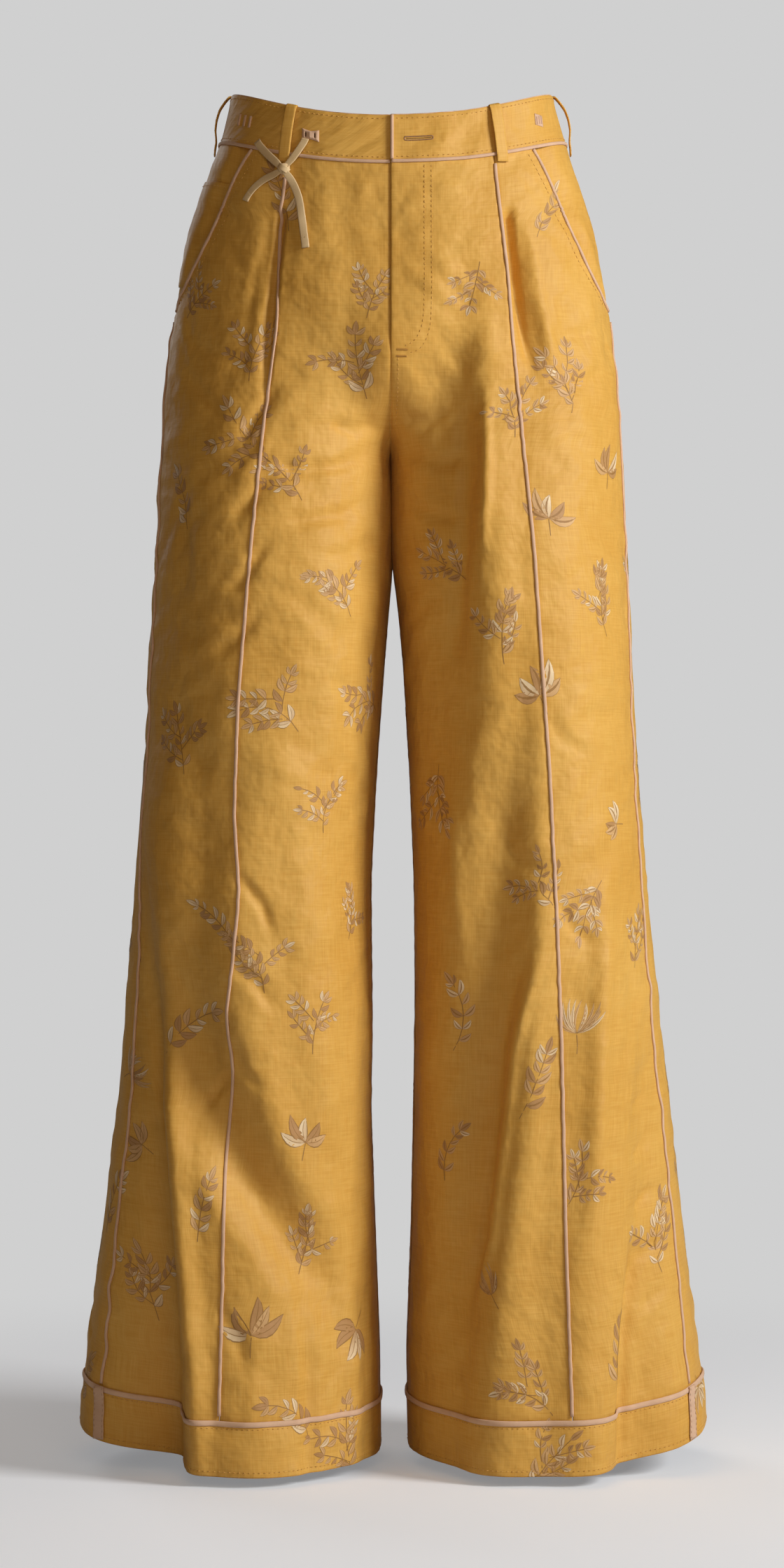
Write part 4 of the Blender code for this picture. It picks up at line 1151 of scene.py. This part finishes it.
def pipeAlong(name, runs, width, high, lift, node=None, material=None):
    # runs of (half, depths, places round the ring) joined into one line
    centre, up = (np.concatenate(part) for part in zip(*[lineOn(*run, lift) for run in runs]))
    piece = strap(name, centre, up, width, high * 2, material or blushTape, "blush_bias_tape",
                  rounded=2.2)
    if node:
        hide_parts(node)


def roundWaist(level, points, lower=0.0):
    # the runs of both halves round the waist, from the left front edge to the right one
    first, last = (np.linspace(0.4, float(read(h, "girth", level)), points)
                   for h in (leftHalf, rightHalf))
    b = level + lower
    return [(leftHalf, b + 0 * first, first), (rightHalf, b + 0 * last[1:], last[-2::-1])]


def allPiping():
    end = hemTop - 2.6
    for leg, half in halves.items():
        seams = {"crease": np.arange(piping["creaseFrom"][leg], end, 3.0),
                 "side": np.arange(piping["sideFrom"], end, 3.0),
                 "pocket": np.arange(*piping["pocket"], 1.5)}
        for seam, rows in seams.items():
            across = read(half, seam, rows)
            if seam == "pocket":
                # drawn tight when it was sewn, so beside the pleat it runs straighter
                across = across - piping["stitchedFrom"]
                x = np.abs(place(half, rows, across)[:, 0])
                straight = np.polyval(np.polyfit(rows, x, 4), rows)
                tight = np.array([findAcross(half, b, v) for b, v in zip(rows, straight)])
                across = across + (tight - across) * smooth(
                    (piping["tightAbove"] - rows) / piping["tightOver"])
            node = f"{seam}_piping_{leg}"
            pipeAlong(f"{node}_tape", [(half, rows, across)], piping["width"], piping["high"],
                      piping["set"], node)
        rows = np.arange(piping["inseamFrom"], end, 4.0)    # the inseam's fold, seen in front as a dark line of painted shade
        pipeAlong(f"inseam_fold_shade_{leg}", [(half, rows, piping["inseam"][leg] + 0 * rows)],
                  *trims["inseam"], material=paintedShade)
        round_ = np.linspace(0.2, float(read(half, "girth", hemTop)) - 0.2, 320)
        pipeAlong(f"hem_piping_{leg}_tape", [(half, hemTop + 0 * round_, round_)],
                  piping["hemWidth"], piping["hemHigh"], cut["hemStep"] + piping["set"],
                  f"hem_piping_{leg}")
    pipeAlong("waist_piping_tape", roundWaist(cut["waistband"], 200), piping["width"],
              piping["high"], piping["waistSet"], "waist_piping")
    rows = np.linspace(0.3, cut["waistband"] - 1.8, 24)
    pipeAlong("waistband_edge_binding_tape", [(leftHalf, rows, 1.1 + 0 * rows)],
              *trims["edge"], "waistband_edge_binding")
    # the fold of the facing shows as a fine line along the top edge
    pipeAlong("waistband_top_edging", roundWaist(0, 160, 0.1), *trims["top"])


allPiping()
print("piping made")

# Belt loops and tabs

# the profiles are (depth, lift) down a loop that lies close, and one that stands proud; left
# and right say how far from the centre line the front loops start and end
loops = {"width": 9.5, "thick": 1.3, "end": 46, "stitches": 3.4, "stitchSink": 0.42,
         "close": [(7, -2.3), (1, -2.3), (-0.7, -1.2), (-0.5, 0.6), (2, 1.5), (5, 2.3), (12, 2.9),
                   (19, 3.4), (30, 3.0), (36, 2.4), (41, 2.2), (45, 1.2), (45.6, 0.9)],
         "proud": [(7, -2.3), (1, -2.3), (-0.7, -1.2), (-0.3, 0.8), (2, 2.4), (5, 4.2), (11, 6.7),
                   (19, 7.3), (27, 6.4), (36, 3.0), (41, 2.3), (45, 1.2), (45.6, 0.9)],
         "left": (79, 85), "right": (75, 81)}
stitchLines = {"linen": [], "blush": [], "cream": []}


def beltLoop(node, profile, at):
    # at gives the line of the strap: a list of (half, place at the top, place at the end)
    path = np.array(profile, float)
    steps = runOf(path)
    b, lift = (np.interp(np.linspace(0, steps[-1], 40), steps, path[:, k]) for k in (0, 1))
    lift = np.convolve(np.pad(lift, 1, mode="edge"), np.ones(3) / 3, mode="valid")
    share = np.clip(b / loops["end"], 0, 1)
    sides = [place(half, b, top + (end - top) * share, lift + loops["thick"] / 2)
             for half, top, end in at]
    half, top, end = at[0]
    if len(at) == 1:
        across = top + (end - top) * share
        east = unit(place(half, b, across + 1, lift) - place(half, b, across - 1, lift))
    else:
        east = unit(sides[1] - sides[0])
    centre = sum(sides) / len(sides)
    up = unit(np.cross(east, np.gradient(centre, axis=0)))
    if up[20] @ lineOn(half, b, top, lift)[1][20] < 0:
        up = -up
    piece = strap(f"{node}_strap", centre, up, loops["width"], loops["thick"], plainLinen,
                  "mustard_linen", rounded=4)
    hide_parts(node)
    for off in (-loops["stitches"], loops["stitches"]):
        line = centre + east * off + up * (loops["thick"] / 2 - loops["stitchSink"])
        stitchLines["linen"].append((line[9:-1], up[9:-1]))


def allLoops():
    ends = (0, loops["end"])
    for leg, half in halves.items():
        beltLoop(f"belt_loop_front_{leg}", loops["close"],
                 [(half, *(findAcross(half, b, x) for b, x in zip(ends, loops[leg])))])
        beltLoop(f"belt_loop_side_{leg}", loops["proud"],
                 [(half, *(float(read(half, "side", b)) for b in ends))])
    beltLoop("belt_loop_back", loops["close"],
             [(half, *(float(read(half, "girth", b)) - 1 for b in ends))
              for half in (leftHalf, rightHalf)])


allLoops()
# a tab folds over the hem band's piping, and ends a little above its lower edge
tab = {"width": 11, "thick": 0.9, "from": 2.0, "to": 1.2, "over": 1.1, "stitches": 4.3}


def hemTab(leg):
    half = halves[leg]
    b = np.linspace(hemTop - tab["from"], cut["length"] - tab["to"], 22)
    lift = cut["hemStep"] + tab["thick"] + tab["over"] * (1 - smooth((b - hemTop - 1.5) / 5))
    centre, up = lineOn(half, b, read(half, "side", b), lift)
    piece = strap(f"hem_tab_{leg}_tape", centre, up, tab["width"], tab["thick"], blushTape,
                  "blush_bias_tape", rounded=5)
    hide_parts(f"hem_tab_{leg}")
    east = unit(np.cross(up, np.gradient(centre, axis=0)))
    for off in (-tab["stitches"], tab["stitches"]):
        stitchLines["blush"].append((centre + east * off + up * tab["thick"] / 2, up))


for leg in halves:
    hemTab(leg)
print("belt loops and tabs made")

# The tie: two lengths of flat tape that cross in a knot

tie = {"width": 6.0, "thick": 0.95, "knotAt": (80, 51.5, 3.95), "knot": (4.4, 2.7, 4.0),
       "lean": 0.5, "slant": 0.6, "wrap": {"over": (0.2, 0.75), "width": 4.6, "reach": 1.9},
       "outer": [(64, 24, 1.3), (69, 34, 2.8), (75, 44.5, 3.9), (80, 51, 4.3), (86, 56, 3.4),
                 (95, 61.5, 2.1), (104, 70, 1.4), (111, 81, 1.2)],
       "inner": [(102, 33, 2.5), (97, 38, 2.6), (90, 44, 3.7), (83.5, 49, 5.3), (79, 53.5, 5.4),
                 (75, 59, 3.3), (70.5, 69, 1.9), (67, 92, 1.4), (64, 117, 1.2)],
       "cordWidth": 0.006, "tack": {"at": (61, 20.5), "width": 14.0, "high": 9.4,
                                    "slot": 0.52, "slotHalf": 2.2}}


def tieTape(name, path, nodes, knot):
    centre, up = curveOn(rightHalf, path, 54)
    length = float(runOf(centre)[-1]) * 0.001
    share = np.linspace(0, 1, len(centre))
    # the sewn end is turned in, so it is thicker, and the tape narrows where it is knotted
    knotWay = np.exp(-(np.linalg.norm(centre - knot, axis=1) / 6) ** 2)
    piece = strap(name, centre, up, tie["width"] * (1 - 0.35 * knotWay),
                  tie["thick"] * (1 + 0.5 * smooth((share - 0.93) / 0.03)), creamTape,
                  "cream_tape", rounded=4)
    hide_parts(*nodes)
    side, row = unit(np.cross(up, np.gradient(centre, axis=0))), -6    # a row near the end
    across = np.linspace(-2.3, 2.3, 8)[:, None] * side[row] + centre[row] + up[row] * 0.75
    stitchLines["cream"].append((across, up[row] + 0 * across))
    return piece, centre, length


def tieKnot(knot):
    # an egg of wound tape: its skin is ridged along the turns of the winding
    rows, round_ = 25, 48
    turn, rise = np.meshgrid(np.linspace(0, 2 * np.pi, round_ + 1)[:-1],
                             np.linspace(0, np.pi, rows))
    ridge = 1 + 0.13 * np.cos(3 * (turn + 1.1 * np.cos(rise))) * np.sin(rise) ** 2
    a, c, d = tie["knot"]
    x, y, z = (a * np.cos(turn) * np.sin(rise) * ridge, c * np.sin(turn) * np.sin(rise) * ridge,
               d * np.cos(rise) * ridge)
    cos, sin = np.cos(tie["lean"]), np.sin(tie["lean"])
    points = np.stack([x * cos - z * sin, y, x * sin + z * cos], 2) + knot
    quads = gridFaces(rows, round_, closed=True)
    uv = atCorners(quads, np.tile(np.arange(round_) / round_ * 30, rows),
                   np.repeat(np.arange(rows) / rows * 14, round_)) * 0.001
    piece = makeMesh("tie_knot_tape", points.reshape(-1, 3), quads, creamTape, uv)
    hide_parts("tie_knot")
    return piece


def knotWrap(knot, out):
    # one turn of the tape lies over the knot: an arc of an ellipse, seen as a slanting band
    slant = unit(np.cross(out, (np.sin(tie["slant"]), 0, np.cos(tie["slant"]))))
    wrap = tie["wrap"]
    turn = np.linspace(-wrap["reach"], wrap["reach"], 26)[:, None]
    wide, deep = (size + more for size, more in zip(tie["knot"], wrap["over"]))
    return strap("tie_knot_wrap",
                 knot + np.cos(turn) * deep * out + np.sin(turn) * wide * slant,
                 np.cos(turn) * out + np.sin(turn) * slant, wrap["width"], tie["thick"],
                 creamTape, "cream_tape", rounded=4)


def wholeTie():
    x, b, lift = tie["knotAt"]
    knotPoint, out = lineOn(rightHalf, b, findAcross(rightHalf, b, x), lift)
    knot = tieKnot(knotPoint)
    first, line1, long1 = tieTape("tie_strand_and_outer_tail", tie["outer"],
                                  ("tie_strand", "tie_tail_outer"), knotPoint)
    second, line2, long2 = tieTape("tie_end_and_inner_tail", tie["inner"],
                                   ("tie_end", "tie_tail_inner"), knotPoint)
    wrap = knotWrap(knotPoint, out)
    print(f"  tie tapes: {long1 * 1000:.0f} and {long2 * 1000:.0f} mm")


def tieTack():
    # a bow-shaped patch, pinched in the middle, that the tie hangs from
    tack = tie["tack"]
    x, b0 = tack["at"]
    middle, rows, columns = findAcross(rightHalf, b0, x), 19, 29
    u, v = np.meshgrid(np.linspace(-1, 1, columns), np.linspace(-1, 1, rows))
    across = middle + u * tack["width"] / 2
    b = b0 + v * tack["high"] / 2 * (0.70 + 0.30 * np.abs(u) ** 1.3)
    rim = 1 - np.maximum(np.abs(u), np.abs(v)) ** 6
    slots = np.exp(-((np.abs(u) - tack["slot"]) / 0.10) ** 2) * np.exp(-(v / 0.55) ** 4)
    lift = 0.35 + 1.15 * rim + 0.5 * np.exp(-(u / 0.16) ** 2) * rim - 1.1 * slots
    number, under = np.arange(rows * columns).reshape(rows, columns), rows * columns
    ring = np.concatenate([number[0], number[1:, -1], number[-1, ::-1][1:], number[::-1, 0][1:]])
    skirt = np.stack([ring[:-1], ring[1:], ring[1:] + under, ring[:-1] + under], axis=1)
    quads = gridFaces(rows, columns)
    quads = np.concatenate([quads, quads[:, ::-1] + under, skirt])[:, ::-1]
    uv = atCorners(quads, np.tile(across.ravel(), 2), np.tile(b.ravel(), 2)) * 0.001
    points = [place(rightHalf, b, across, height) for height in (lift, 0.1)]
    piece = makeMesh("tie_tack_patch", np.concatenate(points).reshape(-1, 3), quads, blushTape,
                     uv)
    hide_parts("tie_tack")
    # the two slots are dark strips of painted shade laid on the patch
    for letter, side in (("a", -1), ("b", 1)):
        bb = np.linspace(b0 - tack["slotHalf"], b0 + tack["slotHalf"], 8)
        line, up = lineOn(rightHalf, bb, middle + side * tack["slot"] * tack["width"] / 2, 0.75)
        strap(f"tie_tack_slot_shade_{letter}", line, up, 1.3, 0.5, paintedShade, "blush_bias_tape")


wholeTie()
tieTack()
print("tie made")

# Sewing

thread = {"long": 2.7, "gap": 1.2, "wide": 0.75, "high": 0.55, "deep": 0.2}
# the six corners of a stitch are its start, one side, its top, the other side, its foot and
# its end
grainFaces = np.array([(0, 2, 1), (0, 3, 2), (0, 4, 3), (0, 1, 4), (5, 1, 2), (5, 2, 3),
                       (5, 3, 4), (5, 4, 1)])


def stitches(name, lines, material, slot, turned=False, **sizes):
    # each stitch is a grain pointed at both ends; turned ones lie across the line
    own = {**thread, **sizes}
    grains = []
    for line, up in lines:
        run = runOf(line)
        count = int(run[-1] // (own["gap"] + (0 if turned else own["long"])))
        if count < 1:
            continue
        at = (np.arange(count) + 0.5) * run[-1] / count

        def readAt(values, distance):
            return np.stack([np.interp(distance, run, values[:, k]) for k in range(3)], 1)

        middle, top = readAt(line, at), unit(readAt(up, at))
        ahead = unit(readAt(line, at + 0.3) - readAt(line, at - 0.3))
        side = np.cross(top, ahead)
        if turned:
            ahead, side = side, -ahead
        ahead, side = ahead * own["long"] / 2, side * own["wide"] / 2
        grains.append(np.stack([middle - ahead, middle + side, middle + top * own["high"],
                                middle - side, middle - top * own["deep"], middle + ahead],
                               axis=1))
    points = np.concatenate(grains)
    faces = (np.arange(len(points))[:, None, None] * 6 + grainFaces[None]).reshape(-1, 3)
    makeMesh(name, points.reshape(-1, 3), faces, material)


# rows of stitching: depths at the waist and hem, beside the pocket mouth, below the fly, along
# the coin pocket's top as (depth, start, end, lift), and the fly's two curves
sewn = {"waistRows": (3.2, 34.2), "hemRows": (hemTop + 3.6, cut["length"] - 4), "lift": 0.05,
        "pocket": (42, 168), "mouth": 9.0, "rise": (212, 262), "coin": (72.0, 2, 50, 1.6),
        "fly": [[(31, 41, 0), (31, 110, 0), (31, 165, 0), (30, 184, 0), (27, 197, 0),
                 (21, 206, 0), (13, 209, 0)],
                [(25.6, 41, 0), (25.6, 110, 0), (25.6, 158, 0), (25, 175, 0), (22.5, 190, 0),
                 (17.5, 199, 0), (9, 204, 0)]]}


def topstitching():
    lines = stitchLines["linen"]
    for half in (leftHalf, rightHalf):
        girth = float(read(half, "girth", 20))
        for b in sewn["waistRows"]:
            lines.append(lineOn(half, b, np.linspace(3.4, girth, 300), sewn["lift"]))
        rows = np.arange(*sewn["pocket"], 3.0)
        lines.append(lineOn(half, rows, read(half, "pocket", rows) - sewn["mouth"],
                            sewn["lift"]))
        hemGirth = float(read(half, "girth", sewn["hemRows"][0]))
        for b in sewn["hemRows"]:
            lines.append(lineOn(half, b, np.linspace(0.5, hemGirth - 0.5, 420),
                                cut["hemStep"] + sewn["lift"]))
    for path in sewn["fly"]:
        centre, up = curveOn(leftHalf, path, 120)
        lines.append((centre + up * sewn["lift"], up))
    lines.append(lineOn(leftHalf, np.linspace(*sewn["rise"], 30), 5.5, 0.0))
    b, start, end, lift = sewn["coin"]
    run = read(rightHalf, "pocket", b) + np.linspace(start, end, 30)
    lines.append(lineOn(rightHalf, b, run, lift))
    stitches("topstitching", lines, mustardThread, "mustard_linen")
    stitches("tab_stitching", stitchLines["blush"], blushThread, "blush_bias_tape")
    stitches("tie_stitching", stitchLines["cream"], creamThread, "cream_tape", long=1.3, gap=0.6)


bars = {"fly": [(9.0, 206, 8.5), (8.5, 211.5, 8.0)],     # middle across, depth, length
        "rightBand": {"at": (116.5, 112.3, 108.0), "depth": 19.0, "width": 2.5, "high": 8.8},
        "leftPatch": {"at": (114, 18.5), "width": 9.0, "high": 8.4}}


def barTacks():
    lines = [lineOn(leftHalf, b, np.linspace(across - long / 2, across + long / 2, 12), 0.1)
             for across, b, long in bars["fly"]]
    stitches("fly_bar_tacks", lines, mustardThread, "mustard_linen", turned=True, long=2.2,
             gap=0.55, wide=0.6)
    band, t, lines = bars["rightBand"], np.linspace(-0.5, 0.5, 10), []
    for k, x in enumerate(band["at"]):    # three short lengths of tape, set on end
        run = (rightHalf, band["depth"] + t * band["high"],
               findAcross(rightHalf, band["depth"], x) + t * 1.5)
        pipeAlong(f"waistband_bar_{k + 1}", [run], band["width"], 0.8, 0.35)
        lines.append(lineOn(*run, 0.95))
    patch = bars["leftPatch"]    # a square of tape held down by plain bars
    x, b = patch["at"]
    middle = findAcross(leftHalf, b, x)
    pipeAlong("waistband_patch", [(leftHalf, b + t * patch["high"], middle + 0 * t)],
              patch["width"], 0.4, 0.1)
    lines += [lineOn(leftHalf, b + t * patch["high"] * 0.75, middle + share * patch["width"], 0.4)
              for share in (-0.3, 0, 0.3)]
    stitches("waistband_bar_tacks", lines, blushThread, "blush_bias_tape", turned=True, long=1.9,
             gap=0.5, wide=0.62)


# the buttonhole's size and place
hole = {"long": 22.0, "high": 3.0, "across": 21.5, "below": 19.5}


def buttonhole():
    # a stadium of close stitches round a slit, the slit a dark strip of painted shade
    middle, half = hole["across"], hole["high"] / 2
    turn, straight = np.linspace(0, 2 * np.pi, 160), hole["long"] / 2 - half
    edge = lineOn(leftHalf, hole["below"] + np.sin(turn) * half,
                  middle + np.clip(np.cos(turn) * hole["long"], -straight, straight)
                  + np.cos(turn) * half, 0.15)
    stitches("buttonhole_stitches", [edge], blushThread, "mustard_linen", turned=True, long=1.3,
             gap=0.5, wide=0.55)
    slit = np.linspace(middle - straight, middle + straight, 16)
    strap("buttonhole_slit_painted_shade", *lineOn(leftHalf, hole["below"], slit, 0.05), 0.55, 0.3, paintedShade,
          "mustard_linen")


topstitching()
barTacks()
buttonhole()
print("sewing made")

# Studio

studio = {"floorGap": 0.008, "floor": "#DBDEE2", "backdrop": "#D0D0D0", "floorGlow": 0.32,
          "shadowsTo": 0.35, "glowFrom": 1.15, "ambient": 0.042,
          "ambientColour": (1.0, 0.48, 0.15, 1), "lookAt": (0, 0, -0.5)}
lights = {"key": {"at": (2.45, -1.42, 0.7), "size": 1.0, "power": 88, "colour": (1, 1, 1)},
          "fill": {"at": (0.2, -3.6, 0.8), "size": 2.0, "power": 25, "colour": (1, 0.80, 0.58)},
          "back": {"at": (-1.6, 2.6, 1.0), "size": 1.6, "power": 20, "colour": (1, 1, 1)}}


def studioFloor():
    low, rows, round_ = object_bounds()[0][2] - studio["floorGap"], 40, 96
    t, r = np.meshgrid(np.linspace(0, 2 * np.pi, round_ + 1)[:-1], np.geomspace(0.05, 60, rows))
    points = np.stack([r * np.cos(t), r * np.sin(t), low + 0 * r], 2).reshape(-1, 3)
    mesh = bpy.data.meshes.new("floor")
    mesh.from_pydata(points.tolist(), [],
                     gridFaces(rows, round_, closed=True).tolist() + [list(range(round_))])
    material, tree, shader = startMaterial("matt_paper_floor")
    # near the garment it takes shadows; further off it glows as evenly as the backdrop
    where = tree.nodes.new("ShaderNodeTexCoord").outputs["Object"]
    far = tree.nodes.new("ShaderNodeVectorMath")
    far.operation = "LENGTH"
    setInputs(far, {0: addNode(tree, "VectorMath", {"operation": "MULTIPLY"},
                               {0: where, 1: (1, 1, 0)})})
    seen = tree.nodes.new("ShaderNodeLightPath").outputs["Is Camera Ray"]
    fade = addNode(tree, "MapRange", {"interpolation_type": "SMOOTHSTEP"},
                   {"Value": far.outputs["Value"], "From Min": studio["shadowsTo"],
                    "From Max": studio["glowFrom"]})
    glow = addNode(tree, "Emission", {}, {"Color": linear(studio["backdrop"]), "Strength": 1.0})
    paper = linear(studio["floor"])
    known = calculate(tree, {"seen": seen, "fade": fade},
                      [("lit", "MULTIPLY", "seen", studio["floorGlow"]),
                       ("share", "MULTIPLY", "fade", "seen")])
    setInputs(shader, {"Base Color": paper, "Emission Color": paper, "Roughness": 0.9,
                       "Emission Strength": known["lit"], "Specular IOR Level": 0.1})
    setInputs(tree.nodes["Material Output"], {"Surface": addNode(
        tree, "MixShader", {}, {0: known["share"], 1: shader.outputs[0], 2: glow})})
    mesh.materials.append(material)
    floor = bpy.data.objects.new("floor", mesh)
    bpy.context.scene.collection.objects.link(floor)


def studioLights():
    for name, light in lights.items():
        data = bpy.data.lights.new(name, "AREA")
        data.energy, data.size, data.color = light["power"], light["size"], light["colour"]
        lamp = bpy.data.objects.new(name, data)
        lamp.location = light["at"]
        x, y, z = np.subtract(studio["lookAt"], light["at"])
        lamp.rotation_euler = (np.arctan2(np.hypot(x, y), -z), 0, np.arctan2(-x, y))
        bpy.context.scene.collection.objects.link(lamp)
    world = bpy.data.worlds.new("studio")
    world.use_nodes = True
    bpy.context.scene.world = world
    tree = world.node_tree
    seen = tree.nodes["Background"]
    setInputs(seen, {"Color": linear(studio["backdrop"])})
    # what the cloth sees round it is mostly more cloth, so its shade is warm
    ambient = addNode(tree, "Background", {}, {"Color": studio["ambientColour"],
                                               "Strength": studio["ambient"]})
    ray = tree.nodes.new("ShaderNodeLightPath").outputs["Is Camera Ray"]
    setInputs(tree.nodes["World Output"], {"Surface": addNode(
        tree, "MixShader", {}, {0: ray, 1: ambient, 2: seen.outputs[0]})})
    bpy.context.scene.view_settings.view_transform = "Standard"


studioFloor()
studioLights()
print("studio made")
